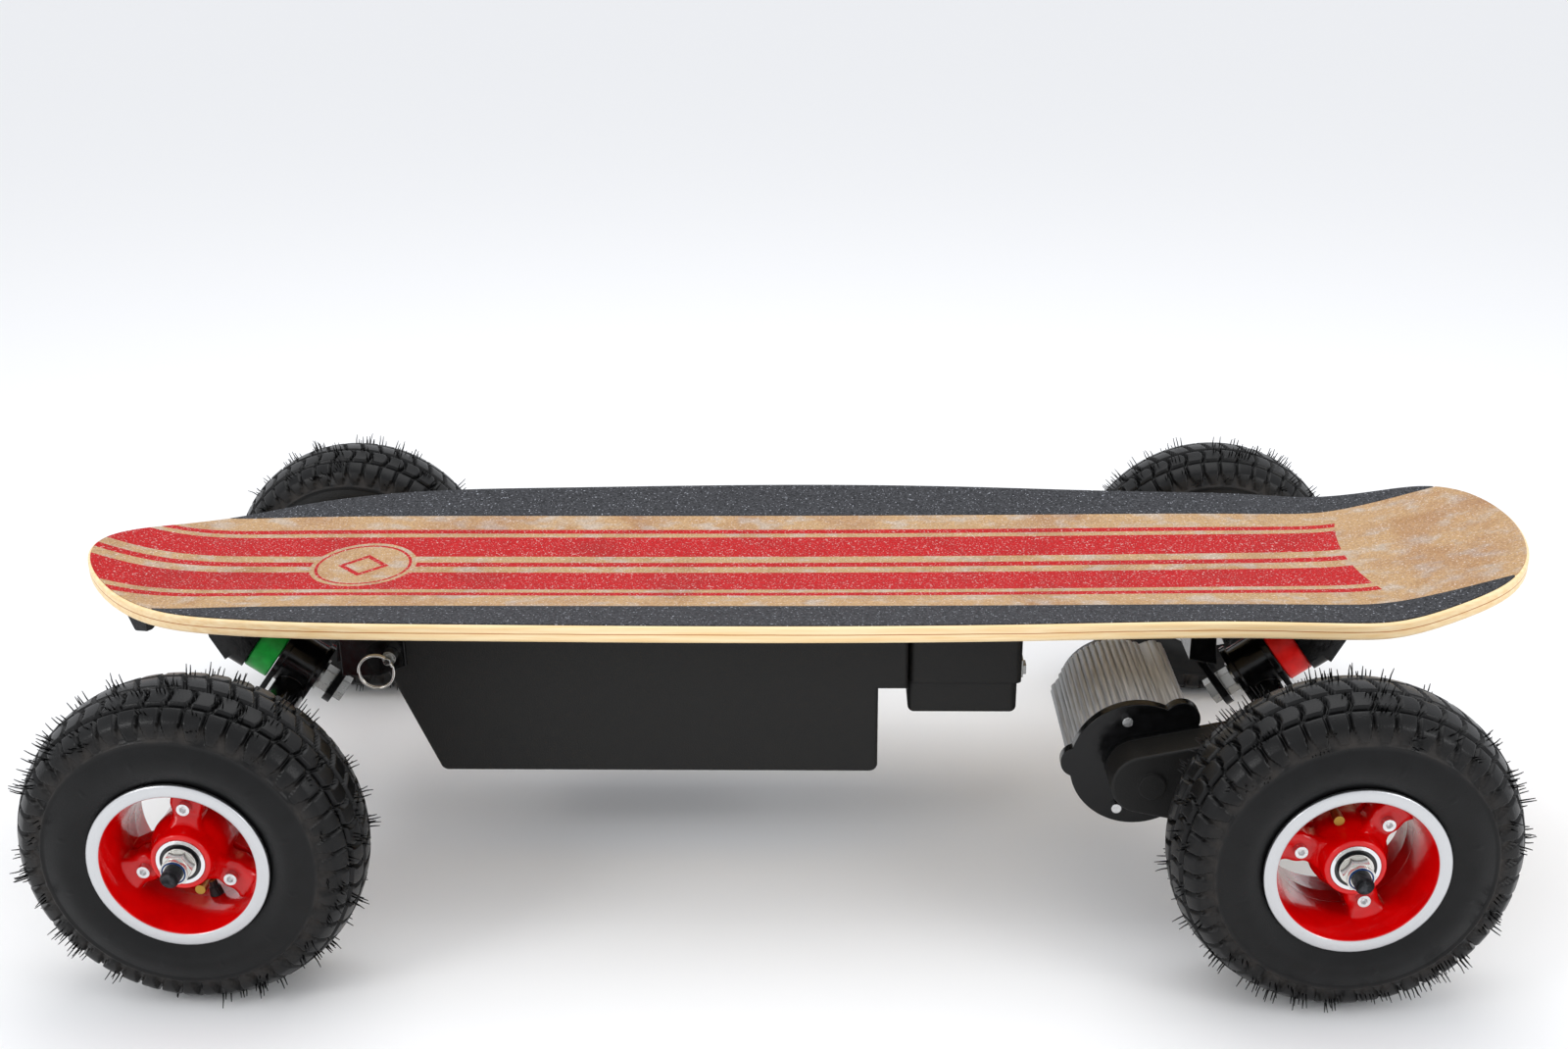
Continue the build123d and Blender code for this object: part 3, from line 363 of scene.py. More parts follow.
# Rotary-cut maple plywood, sanded and clear lacquered: pale veneers with thin brown glue lines
# on the edge, faint grain along the board, and a soft satin shine.
maple, tree, shader = finish("lacquered_maple_plywood", "EFD196", 0.0, 0.42)
PLY = 1.55
depth = add(tree, "Attribute", out="Fac", attribute_name="depth")
wander = patches(tree, 60, 0.3, 0.7, -0.25, 0.25)
ply = add(tree, "Math", {0: add(tree, "Math", {0: depth, 1: wander}, operation="ADD"), 1: PLY},
          operation="DIVIDE")
far = add(tree, "Math", {0: ply, 1: 2.0}, operation="PINGPONG")
line = add(tree, "MapRange", {"Value": far, "From Min": 0.30, "From Max": 0.12})
side = add(tree, "MapRange", {"Value": depth, "From Min": 1.5, "From Max": 2.2})
under = add(tree, "MapRange", {"Value": depth, "From Min": 11.2, "From Max": 10.6})
line = add(tree, "Math", {0: add(tree, "Math", {0: line, 1: side}, operation="MULTIPLY"), 1: under},
           operation="MULTIPLY")
grain = patches(tree, 2.5, 0.3, 0.7, detail=5, stretch=(30, 1, 1))
wood = add(tree, "Mix", {0: grain, 6: rgb("FBE3B6"), 7: rgb("F0CB92")}, 2, data_type="RGBA")
wire(shader, Base_Color=add(tree, "Mix", {0: line, 6: wood, 7: rgb("B06A2C")}, 2, data_type="RGBA"))
relief(shader, grain, 0.12)
FINISHES["maple_ply"] = maple
piece("deck_core", deck_core(), maple, "board", ["deck"])

# %% [markdown]
# ## Printed sheet and grip strips
#
# Two layers lie on the deck.  The wide middle one is a printed veneer under clear grit, and the
# two at the sides are black grip.  Each is a sheet on the deck's own surface, trimmed to the
# outline just inside the rounded edge, and given its thickness by a Solidify modifier.

# %% Sheets on the deck
SHEET_THICKNESS = 0.8
SHEET_INSET = 2.2
PRINT_HALF_WIDTH = 93.3
TRIM = EDGE + INWARD * SHEET_INSET
half = len(TRIM) // 2 + 1
NEAR_HALF = TRIM[:half] * np.where(TRIM[half // 2, 1] > 0, 1, -1) ** np.arange(2)


def sheet_piece(name, flat, finish_made, node=()):
    """A sheet whose top is SHEET_THICKNESS above the deck, from plan points (rows, columns, 2)."""
    height = deck_top(flat[..., 0], flat[..., 1]) + SHEET_THICKNESS
    points = np.concatenate([flat, height[..., None]], axis=-1) * MM
    made = piece(name, mesh_of(name, grid(points)), finish_made, "board", node)
    if np.mean([polygon.normal.z for polygon in made.data.polygons[:50]]) < 0:
        made.data.flip_normals()
    thick = made.modifiers.new("thickness", "SOLIDIFY")
    thick.thickness, thick.offset = (SHEET_THICKNESS - 0.02) * MM, -1.0


def print_plan():
    """Rows across the board; on each, points from the nose's trim to the tail's."""
    across = PRINT_HALF_WIDTH * np.sin(np.linspace(-math.pi / 2, math.pi / 2, 121))
    widest = NEAR_HALF[:, 1].argmax()
    nose, tail = NEAR_HALF[:widest], NEAR_HALF[widest:][::-1]
    start = np.interp(np.abs(across), nose[:, 1], nose[:, 0])
    end = np.interp(np.abs(across), tail[:, 1], tail[:, 0])
    share = (1 - np.cos(np.linspace(0, math.pi, 301))) / 2
    x = start[:, None] + (end - start)[:, None] * share
    return np.stack([x, np.repeat(across[:, None], len(share), axis=1)], axis=-1)


def strip_plan(side):
    """Rows along the board, from the edge of the print out to the deck's trim."""
    inside = NEAR_HALF[NEAR_HALF[:, 1] > PRINT_HALF_WIDTH + 0.05]
    share = np.linspace(0, 1, 17)
    y = PRINT_HALF_WIDTH + (inside[:, 1] - PRINT_HALF_WIDTH)[:, None] * share
    return np.stack([np.repeat(inside[:, :1], len(share), axis=1), side * y], axis=-1)


print("sheets reach", NEAR_HALF[:, 0].min().round(1), "to", NEAR_HALF[:, 0].max().round(1), "mm")

# %% [markdown]
# The print is a tan ground with red stripes: a wide pair, a thin pair outside it and a thin one
# down the middle.  They end on a curve before the tail.  Near the nose is a plain oval badge
# with a double outline.  The tan is worn and blotched, and the clear grit's sparkle is painted glints.
# The grit is drawn about 2 mm coarse, because its real 0.3 mm grains would not show.

# %% Printed veneer under clear grit
STRIPES = ((0, "red"), (4.0, "tan"), (16.2, "red"), (53.6, "tan"), (60.7, "red"), (67.8, "tan"))
STRIPE_COLOURS = {"red": "C2161B", "tan": "C6A277"}
BADGE_X, BADGE_Y, BADGE_LONG, BADGE_WIDE = -329.0, -2.0, 40.0, 44.5
STRIPE_END_X, STRIPE_END_R = 705.5, 290.0
printed, tree, shader = finish("printed_veneer_clear_grit", "C6A277", 0.0, 0.6, Specular_IOR_Level=0.12)
here = add(tree, "TexCoord", out="Object")
apart = tree.nodes[add(tree, "SeparateXYZ", {0: here}).node.name].outputs
x_mm = add(tree, "Math", {0: apart["X"], 1: 1 / MM}, operation="MULTIPLY")
y_mm = add(tree, "Math", {0: apart["Y"], 1: 1 / MM}, operation="MULTIPLY")
across = add(tree, "Math", {0: add(tree, "Math", {0: y_mm}, operation="ABSOLUTE"), 1: 0.01},
             operation="MULTIPLY")
stripes = tree.nodes.new("ShaderNodeValToRGB")
stripes.color_ramp.interpolation = "CONSTANT"
for place, colour in STRIPES[2:]:
    stripes.color_ramp.elements.new(place / 100).color = rgb(STRIPE_COLOURS[colour])
for element, (place, colour) in zip(stripes.color_ramp.elements, STRIPES):
    element.position, element.color = place / 100, rgb(STRIPE_COLOURS[colour])
tree.links.new(across, stripes.inputs[0])
stripes.color_ramp.elements[-1].position = 0.678

# Distance from a point behind the tail ends the stripes on a curve.
end_x = add(tree, "Math", {0: x_mm, 1: STRIPE_END_X}, operation="SUBTRACT")
end_r = add(tree, "VectorMath", {0: add(tree, "CombineXYZ", {0: end_x, 1: y_mm})}, "Value",
            operation="LENGTH")
before_tail = add(tree, "Math", {0: end_r, 1: STRIPE_END_R}, operation="GREATER_THAN")
tan = rgb(STRIPE_COLOURS["tan"])
ground = add(tree, "Mix", {0: before_tail, 6: tan, 7: stripes.outputs[0]}, 2, data_type="RGBA")

# The badge: a distance that is 1 on the oval, with lines near its rim and a small diamond.
badge_x = add(tree, "Math", {0: x_mm, 1: BADGE_X}, operation="SUBTRACT")
badge_x = add(tree, "Math", {0: badge_x, 1: BADGE_LONG}, operation="DIVIDE")
badge_y = add(tree, "Math", {0: y_mm, 1: BADGE_Y}, operation="SUBTRACT")
badge_y = add(tree, "Math", {0: badge_y, 1: BADGE_WIDE}, operation="DIVIDE")
badge_r = add(tree, "VectorMath", {0: add(tree, "CombineXYZ", {0: badge_x, 1: badge_y})}, "Value",
              operation="LENGTH")
in_badge = add(tree, "Math", {0: badge_r, 1: 1.0}, operation="LESS_THAN")
rim_gap = add(tree, "Math", {0: badge_r, 1: 0.88}, operation="SUBTRACT")
rim_line = add(tree, "Math", {0: add(tree, "Math", {0: rim_gap}, operation="ABSOLUTE"), 1: 0.028},
               operation="LESS_THAN")
diamond = add(tree, "Math", {0: add(tree, "Math", {0: badge_x}, operation="ABSOLUTE"),
                             1: add(tree, "Math", {0: badge_y}, operation="ABSOLUTE")}, operation="ADD")
diamond = add(tree, "Math", {0: add(tree, "Math", {0: diamond, 1: 0.42}, operation="SUBTRACT")},
              operation="ABSOLUTE")
diamond = add(tree, "Math", {0: diamond, 1: 0.07}, operation="LESS_THAN")
marks = add(tree, "Math", {0: rim_line, 1: diamond}, operation="MAXIMUM")
badge = add(tree, "Mix", {0: marks, 6: tan, 7: rgb(STRIPE_COLOURS["red"])}, 2, data_type="RGBA")
art = add(tree, "Mix", {0: in_badge, 6: ground, 7: badge}, 2, data_type="RGBA")

# Wear: the tan has pale and brown blotches; red is only a little uneven.
redness = add(tree, "SeparateColor", {0: art}, 1)
is_tan = add(tree, "MapRange", {"Value": redness, "From Min": 0.02, "From Max": 0.3})
pale = add(tree, "Math", {0: patches(tree, 15, 0.50, 0.66, 0, 0.6, detail=8, stretch=(1.3, 1, 1)), 1: is_tan},
           operation="MULTIPLY")
brown = add(tree, "Math", {0: patches(tree, 30, 0.55, 0.75, 0, 0.6, detail=5), 1: is_tan},
            operation="MULTIPLY")
art = add(tree, "Mix", {0: brown, 6: art, 7: rgb("A87848")}, 2, data_type="RGBA")
art = add(tree, "Mix", {0: pale, 6: art, 7: rgb("C8BFB4")}, 2, data_type="RGBA")
smoky = patches(tree, 55, 0.5, 0.8, 0, 0.35, detail=4)
art = add(tree, "Mix", {0: smoky, 6: art, 7: rgb("7A2A24")}, 2, data_type="RGBA")
grit = patches(tree, 1.8, 0.36, 0.66, detail=2)
art = add(tree, "Mix", {0: add(tree, "Math", {0: grit, 1: 0.30}, operation="MULTIPLY"), 6: art,
                        7: rgb("4A2018")}, 2, data_type="RGBA")
# painted glints: bright specks mixed into the colour stand for light glancing off the clear grit
painted_glint = patches(tree, 1.5, 0.62, 0.72, 0, 0.55, detail=1)
wire(shader, Base_Color=add(tree, "Mix", {0: painted_glint, 6: art, 7: rgb("F2E4DC")}, 2, data_type="RGBA"))
relief(shader, grit, 0.5)
FINISHES["printed_grit"] = printed
sheet_piece("printed_sheet", print_plan(), printed, ["deck_print"])

# %% Grip strips
# Silicon carbide grip on a black film: a dark grey, matt, pebbled surface, with painted glints as bright points.
grip, tree, shader = finish("silicon_carbide_grip", "3C3E44", 0.0, 0.75, Specular_IOR_Level=0.2)
pebble = patches(tree, 2.0, 0.3, 0.7, detail=3)
dark = add(tree, "Mix", {0: pebble, 6: rgb("1C1D20"), 7: rgb("4B4C50")}, 2, data_type="RGBA")
# painted glints: bright specks in the colour stand for light glancing off the grains
painted_glint = patches(tree, 1.7, 0.66, 0.74, 0, 0.8, detail=1)
wire(shader, Base_Color=add(tree, "Mix", {0: painted_glint, 6: dark, 7: rgb("B9BCC4")}, 2, data_type="RGBA"))
relief(shader, pebble, 0.9)
FINISHES["grip_tape"] = grip
for side, name in ((-1, "grip_strip_left"), (1, "grip_strip_right")):
    sheet_piece(name, strip_plan(side), grip, ["grip_strips"])

# %% [markdown]
# ## Tyres
#
# The tyre is a small pneumatic with a block tread.  Its skin is a smooth section turned round the
# axle.  The tread is cut into it: at each point of the grid a depth is worked out from how far it
# lies from the nearest groove, and the skin is moved inwards by that depth.  Two circumferential
# grooves part a middle band from the shoulders; curved cross grooves cut the bands into blocks;
# the shoulder lugs taper into the sidewall.  A thin raised ring runs round the sidewall.

# %% Tyre skin
WHEELS = {}
for wheel in ("front_left", "front_right", "rear_left", "rear_right"):
    low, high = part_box(wheel + "_tyre")
    WHEELS[wheel] = {"middle": np.array((low + high) / 2) / MM, "side": 1 if low.y > 0 else -1}
SKIN_R = (53.0, 60, 70, 82, 95, 104, 111, 114.3)
SKIN_OUT = (33.9, 36.2, 40.2, 41.3, 38.6, 32, 19, 0)
BLOCKS = 46
GROOVE = 4.2
CENTRE_RING, LUG_RING = 8.5, 25.0
LUG_TOP_END, LUG_END = 37.5, 48.5


def step(value, edge, soft):
    """0 below the edge and 1 above it, with a smooth slope about soft wide."""
    share = np.clip((value - edge) / soft + 0.5, 0, 1)
    return share * share * (3 - 2 * share)


def section(count):
    """Tyre section from bead to bead: radius, distance out, and arc length from the crown."""
    radius = np.array(SKIN_R + SKIN_R[-2::-1], float)
    out = np.array(SKIN_OUT + tuple(-v for v in SKIN_OUT[-2::-1]), float)
    at = np.concatenate([[0], np.cumsum(np.hypot(np.diff(radius), np.diff(out)))])
    fine = np.linspace(0, at[-1], 2000)
    r, o = curve_through(at, radius, fine), curve_through(at, out, fine)
    arc = np.concatenate([[0], np.cumsum(np.hypot(np.diff(r), np.diff(o)))])
    arc -= arc[-1] / 2
    # columns are packed closer on the tread than on the sidewalls
    density = np.where(np.abs(arc) < LUG_END + 4, 1.7, 0.7)
    total = np.concatenate([[0], np.cumsum((density[1:] + density[:-1]) / 2 * np.diff(arc))])
    places = np.interp(np.linspace(0, total[-1], count), total, arc)
    return np.interp(places, arc, r), np.interp(places, arc, o), places


def tread_depth(turn, arc):
    """Depth below the skin, and a mask of groove dust with a painted reflection, from turn round the wheel and
    arc length across it.

    A cross gap is one minus a smooth step of the distance from its middle line, which repeats
    BLOCKS times round the wheel; the line bows by a half sine across the block band, and the gap
    widens in proportion to the distance down a lug's bevel.  Gaps and rings join by the deeper.
    """
    across = np.abs(arc)
    pitch = turn * BLOCKS / TAU
    spacing = TAU * 110 / BLOCKS
    bow = np.sin(np.clip((across - CENTRE_RING) / (LUG_RING - CENTRE_RING), 0, 1) * math.pi)
    bevel = np.clip((across - LUG_TOP_END) / (LUG_END - LUG_TOP_END), 0, 1)
    phase = np.where(across < CENTRE_RING, 0.5 + 0.02 * arc, 0.26 * bow + 0.07 * bevel)
    distance = np.abs((pitch + phase) % 1 - 0.5) * spacing
    cross = 1 - step(distance, 1.25 + 3.4 * bevel, 0.8)
    rings = np.maximum(1 - step(np.abs(across - LUG_RING), 1.4, 0.9),
                       0.8 - 0.8 * step(np.abs(across - CENTRE_RING), 1.0, 0.9))
    tread = np.maximum(GROOVE * np.maximum(cross, rings), 2.6 * bevel)
    side = 3.6 * (1 - step(across, 60, 22))
    wall = step(across, LUG_END, 0.9) + 0 * pitch
    # groove dust, partly a painted reflection: the deeper tread on the shoulders is lightened brownish
    dust_and_reflection = np.clip(tread / GROOVE, 0, 1) * step(across, 37, 8) * (1 - wall)
    return tread * (1 - wall) + side * wall, dust_and_reflection + wall * (1 - step(across, 51, 3))


def sidewall_relief(turn, radius):
    """Raised ring, a fine second line near the bead, and small moulded dots, in mm outwards."""
    ring = 1.0 * (1 - step(np.abs(radius - 90.0), 0.9, 0.8))
    line = 0.35 * (1 - step(np.abs(radius - 65.0), 0.6, 0.6))
    dots = (1 - step(np.abs(radius - 75), 1.3, 0.8)) * (1 - step(np.abs((turn * 12 / TAU) % 1 - 0.5) * 39,
                                                                 1.3, 0.8))
    return ring + line + 0.5 * dots


def tyre(middle):
    """Tyre skin as a torus-like grid: rows round the wheel, columns from bead to bead."""
    radius, out, arc = section(143)
    turns = np.linspace(0, TAU, BLOCKS * 15, endpoint=False)[:, None]
    depth, dust_and_reflection = tread_depth(turns, arc[None])
    wall = sidewall_relief(turns, radius[None]) * (np.abs(arc[None]) > LUG_END)
    nr, no = np.gradient(out, arc), -np.gradient(radius, arc)
    facing = np.sign(nr * (radius - 84) + no * out).mean()
    shift = (wall - depth) * (1 if facing > 0 else -1)
    r, o = radius + shift * nr, out + shift * no
    points = middle + np.stack([r * np.cos(turns), o + 0 * turns, r * np.sin(turns)], axis=-1)
    # the inside is closed by a plain inner wall, one column of quads from bead to bead
    return mesh_of("tyre", grid(points * MM, close_rows=True, close_columns=True),
                   attributes={"dust_and_reflection": dust_and_reflection})


# Moulded rubber: nearly black with a satin skin; the grooves are lightened brownish, partly dust and partly a
# painted reflection.
rubber, tree, shader = finish("moulded_tyre_rubber", "060607", 0.0, 0.36, Specular_IOR_Level=0.25)
groove_dust_and_reflection = add(tree, "Attribute", out="Fac", attribute_name="dust_and_reflection")
dust_and_reflection = add(tree, "Math", {0: groove_dust_and_reflection, 1: patches(tree, 12, 0.35, 0.65, 0.0, 0.75)}, operation="MULTIPLY")
cloud = patches(tree, 14, 0.3, 0.7, detail=4)
skin_colour = add(tree, "Mix", {0: cloud, 6: rgb("030303"), 7: rgb("0A0A0B")}, 2, data_type="RGBA")
# the grooves' brownish lightening is partly dust and partly a painted reflection
wire(shader, Base_Color=add(tree, "Mix", {0: dust_and_reflection, 6: skin_colour, 7: rgb("3A3633")}, 2, data_type="RGBA"),
     Roughness=add(tree, "MapRange", {"Value": dust_and_reflection, "To Min": 0.3, "To Max": 0.8}))
relief(shader, patches(tree, 0.9, 0.3, 0.7, detail=2), 0.06)
FINISHES["tyre_rubber"] = rubber
for wheel, facts in WHEELS.items():
    piece(wheel + "_tread_tyre", tyre(facts["middle"]), rubber, wheel + "_wheel",
          [wheel + "_tyre"])

# %% [markdown]
# New tyres are covered in thin rubber hairs, where rubber was pressed into the mould's vents.
# Each is a three-sided spike bent a little to one side, with its foot on the skin.  They stand
# in short rows over the tread and the shoulders.  Those that would reach below the ground are
# left out, since the weight of the board lays them flat.

# %% Moulding hairs
HAIRS = 480


def hairs(middle):
    """All the hairs of one tyre: a foot, a bent middle and a tip, each a small triangle."""
    radius, out, arc = section(400)
    rows = np.repeat(random.uniform(0, TAU, HAIRS // 3), 3) + np.tile([-0.03, 0.0, 0.022], HAIRS // 3)
    spots = np.repeat(random.uniform(-50, 50, HAIRS // 3), 3) + random.uniform(-1.5, 1.5, len(rows))
    r, o = np.interp(spots, arc, radius) - 1.0, np.interp(spots, arc, out)
    nr, no = np.interp(spots, arc, np.gradient(out, arc)), np.interp(spots, arc, -np.gradient(radius, arc))
    sign = np.sign(nr * (r - 84) + no * o)
    length = random.uniform(3.5, 10.0, len(rows))
    lean = random.normal(0, 0.1, (2, len(rows)))
    radial = np.stack([np.cos(rows), 0 * rows, np.sin(rows)], axis=1)
    around = np.stack([-np.sin(rows), 0 * rows, np.cos(rows)], axis=1)
    axle = np.array([0.0, 1.0, 0.0])
    foot = middle + r[:, None] * radial + o[:, None] * axle
    grow = (sign * nr)[:, None] * radial + (sign * no)[:, None] * axle
    bent = grow + lean[0][:, None] * around + lean[1][:, None] * axle
    tip = foot + length[:, None] * (grow * 0.6 + bent * 0.4) + (length**2 * 0.015)[:, None] * (bent - grow)
    elbow = foot + length[:, None] * grow * 0.5
    keep = tip[:, 2] > 1.5
    foot, elbow, tip, around = foot[keep], elbow[keep], tip[keep], around[keep]
    second = np.cross(grow[keep], around)
    rings = []
    for place, thick in ((foot, 0.6), (elbow, 0.5), (tip, 0.3)):
        turn = np.array([0, TAU / 3, 2 * TAU / 3])
        ring = place[:, None] + thick * (np.cos(turn)[None, :, None] * around[:, None]
                                         + np.sin(turn)[None, :, None] * second[:, None])
        rings.append(ring)
    points = np.stack(rings, axis=1) * MM
    count = len(points)
    index = np.arange(count * 9).reshape(count, 3, 3)
    turned = np.roll(index, -1, axis=2)
    sides = np.stack([index[:, :-1], turned[:, :-1], turned[:, 1:], index[:, 1:]], axis=-1).reshape(-1, 4)
    return points.reshape(-1, 3), sides


def hair_mesh(points, sides):
    """Open spikes closed with a small face at each end."""
    mesh = bpy.data.meshes.new("hairs")
    ends = np.arange(len(points)).reshape(-1, 9)
    caps = [tuple(row[:3][::-1]) for row in ends.tolist()] + [tuple(row[6:]) for row in ends.tolist()]
    mesh.from_pydata(points.tolist(), [], [tuple(q) for q in sides.tolist()] + caps)
    mesh.update()
    mesh.polygons.foreach_set("use_smooth", np.ones(len(mesh.polygons), bool))
    return mesh


for wheel, facts in WHEELS.items():
    piece(wheel + "_tyre_hairs", hair_mesh(*hairs(facts["middle"])), rubber, wheel + "_wheel")

# %% [markdown]
# ## Motor
#
# The motor's case is an aluminium extrusion with ribs along it, cut off square.  Its outline is
# the reach of three circles from the middle, the round case and two lugs, and the ribs are a
# wave on that reach.  The real near lug carries a flat facet, which the outline leaves out.  The
# outline is carried along the motor's length, with a small round at each end, and back through
# the bore of the shaft.

# %% Ribbed motor case
low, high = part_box("motor_body")
rotor_low, rotor_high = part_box("motor_rotor")
MOTOR_MIDDLE = np.array((rotor_low + rotor_high) / 2) / MM
MOTOR_ENDS = (low.y / MM, high.y / MM)
MOTOR_R = 44.0
LUGS = ((50.0, 43.0, 10.0), (178.0, 39.0, 8.5))
RIB_PITCH_DEG = 6.6


def reach(angle, out, at, radius):
    """How far from the middle a circle reaches in each direction, or 0 where it doesn't."""
    turn = angle - math.radians(at)
    inside = radius**2 - (out * np.sin(turn)) ** 2
    return np.where((inside > 0) & (np.cos(turn) > 0), out * np.cos(turn) + np.sqrt(np.maximum(inside, 0)), 0)


def motor_case():
    """Ribbed outline, softened at its joints, carried from front to back and through the bore."""
    angle = np.linspace(0, TAU, 1440, endpoint=False)
    plain = np.maximum.reduce([np.full_like(angle, MOTOR_R)] + [reach(angle, out, at, r) for at, out,
                                                                r in LUGS])
    smooth = np.mean([np.roll(plain, k) for k in range(-7, 8)], axis=0)
    wave = np.abs(np.sin(angle / math.radians(RIB_PITCH_DEG) * math.pi)) ** 0.55
    ribs = 1.9 * (wave - 1)
    front, back = MOTOR_ENDS
    rings = []
    for share, y, kind in [(0, front, 0), (0.97, front, 1), (1, front + 1.2, 1), (1, back - 3, 1),
                           (0.965, back, 1), (0, back, 0)]:
        radius = np.full_like(angle, 5.2) if kind == 0 else (smooth + ribs) * share
        rings.append(np.stack([radius * np.cos(angle), np.full_like(angle, y), radius * np.sin(angle)],
                              axis=1))
    points = np.array(rings)
    points[..., 0] += MOTOR_MIDDLE[0]
    points[..., 2] += MOTOR_MIDDLE[2]
    return mesh_of("motor_case", grid(points * MM, close_rows=True, close_columns=True))


# Extruded aluminium, tumbled and left bare: mid grey, half matt, streaked along the ribs.
aluminium, tree, shader = finish("extruded_aluminium_case", "9A9A9B", 0.35, 0.4)
streak = patches(tree, 1.6, 0.3, 0.7, detail=4, stretch=(1, 25, 1))
wire(shader,
     Base_Color=add(tree, "Mix", {0: streak, 6: rgb("8E9093"), 7: rgb("C0C2C5")}, 2, data_type="RGBA"),
     Roughness=add(tree, "MapRange", {"Value": streak, "To Min": 0.34, "To Max": 0.52}))
relief(shader, streak, 0.08)
FINISHES["cast_aluminium"] = aluminium
case = piece("motor_case", motor_case(), aluminium, "rear_truck", ["motor_body"])
case.modifiers.new("edges", "EDGE_SPLIT").split_angle = math.radians(55)

# %% [markdown]
# ## Rims
#
# Each outer rim half is a die casting: a barrel that flares to a flange, a hub for the bearing,
# and three arms with pads for the clamping screws.  The barrel and the hub are profiles turned
# round the axle, with every corner rounded.  An arm is a soft-cornered section carried from the
# hub out to the barrel, wide at both ends and at its pad.

# %% Outer rim halves
BARREL = [(45.5, 0), (49.5, 0), (52.4, 26), (52.5, 33.6), (53.2, 34.5), (58.6, 36.2), (59.3, 36.8),
          (59.4, 39.0),
          (59.1, 39.7), (58.4, 40), (51.8, 40), (51.0, 39.7), (50.6, 38.9), (46.0, 19), (45.7, 10)]
HUB = [(9, 0), (25, 0), (25.6, 12), (24.6, 17.5), (22.4, 20.2), (21.2, 24), (20.2, 31), (19.7, 33.2),
       (18.8, 34),
       (16.6, 34), (16.1, 33.6), (16, 24), (9, 24)]
PHASES = {"front_left": 85.0, "front_right": 30.0, "rear_left": 50.6, "rear_right": 10.0}


def turned(profile, middle, side, count=180):
    """A closed profile of (radius, distance out) turned round the axle."""
    r, out = np.array(profile, float).T
    turn = np.linspace(0, TAU, count, endpoint=False)[:, None]
    points = np.stack([r * np.cos(turn), side * out + 0 * turn, r * np.sin(turn)], axis=-1) + middle
    return grid(points * MM, close_rows=True, close_columns=True)


def arm(middle, side, angle):
    """Section with |across|^5 + |up|^5 = 1, its half width and top set along the radius by cubics."""
    r = np.linspace(17, 47.2, 40)[:, None]
    half_width = curve_through((17, 22, 27, 33, 39, 48), (13, 10.5, 9.6, 11.0, 10.4, 14), r)
    top = curve_through((17, 22, 26.5, 30, 38, 43, 48), (26, 22.5, 19.3, 19, 19, 20.0, 22.5), r)
    around = np.linspace(0, TAU, 48, endpoint=False)[None]
    across = half_width * np.sign(np.cos(around)) * np.abs(np.cos(around)) ** 0.4
    up = np.sign(np.sin(around)) * np.abs(np.sin(around)) ** 0.4
    out = side * (top / 2 + 0.5 + (top / 2 - 0.5) * up)
    c, s = math.cos(angle), math.sin(angle)
    points = np.stack([r * c - across * s, out, r * s + across * c], axis=-1) + middle
    return grid(points * MM, close_columns=True)


print("rim barrel radius", BARREL[7][0], "mm")

# %% [markdown]
# ## Split ring
#
# The latch pin is pulled by a key ring: spring wire wound nearly twice round, so two wires lie
# side by side.  A small round section is carried along a flat helix and closed at both ends.

# %% Split ring
low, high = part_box("pull_ring")
RING_MIDDLE = np.array((low + high) / 2)
WIRE = 0.95 * MM
ring_radius = (high.x - low.x) / 2 - WIRE


def split_ring():
    """Wire section turned about a helix of 1.95 turns whose coils lie one wire apart."""
    turn = np.linspace(0.3, 0.3 + 1.95 * TAU, 240)[:, None]
    around = np.linspace(0, TAU, 12, endpoint=False)[None]
    taper = np.where((turn < 0.31) | (turn > 0.29 + 1.95 * TAU), 0.02, 1.0) * WIRE
    rise = WIRE * np.clip((turn - 0.3 - TAU) / 0.5, -1, 1)
    r = ring_radius + taper * np.cos(around)
    y = rise + taper * np.sin(around)
    points = np.stack([r * np.cos(turn), y, r * np.sin(turn)], axis=-1) + RING_MIDDLE
    return mesh_of("split_ring", grid(points, close_columns=True), weld_mm=0.03)


# Nickel-plated spring wire: bright, slightly warm, with a fine drawn finish.
wire_finish, tree, shader = finish("nickel_plated_spring_wire", "D2D0CB", 1.0, 0.16)
wire(shader, Roughness=patches(tree, 3, 0.3, 0.7, 0.10, 0.26))
FINISHES["spring_wire"] = wire_finish
piece("split_ring", split_ring(), wire_finish, "pull_ring", ["pull_ring"])

# %% [markdown]
# ## Finishes for the frame's own parts
#
# The rims are die-cast and powder enamelled red, then the flange that faces out is turned bright
# on a lathe.  The turned part is told by its distance from the axle, and both axles are read with
# one sum because they lie the same distance from the middle of the wheelbase.

# %% Distance from the axle
AXLE_Z = WHEELS["front_left"]["middle"][2]
FRONT_X, REAR_X = WHEELS["front_left"]["middle"][0], WHEELS["rear_left"]["middle"][0]


def wheel_places(tree):
    """Distance from the nearer axle and from the board's middle plane, both in mm."""
    here = add(tree, "TexCoord", out="Object")
    apart = add(tree, "SeparateXYZ", {0: here}).node.outputs
    from_middle = add(tree, "Math", {0: apart["X"], 1: (FRONT_X + REAR_X) / 2 * MM}, operation="SUBTRACT")
    from_middle = add(tree, "Math", {0: from_middle}, operation="ABSOLUTE")
    along = add(tree, "Math", {0: from_middle, 1: (REAR_X - FRONT_X) / 2 * MM}, operation="SUBTRACT")
    up = add(tree, "Math", {0: apart["Z"], 1: AXLE_Z * MM}, operation="SUBTRACT")
    flat = add(tree, "CombineXYZ", {0: along, 1: up})
    metres = add(tree, "VectorMath", {0: flat}, "Value", operation="LENGTH")
    radius = add(tree, "Math", {0: metres, 1: 1 / MM}, operation="MULTIPLY")
    out = add(tree, "Math", {0: apart["Y"]}, operation="ABSOLUTE")
    return radius, add(tree, "Math", {0: out, 1: 1 / MM}, operation="MULTIPLY")


print("axles at", FRONT_X.round(1), REAR_X.round(1), "mm, height", AXLE_Z.round(1))

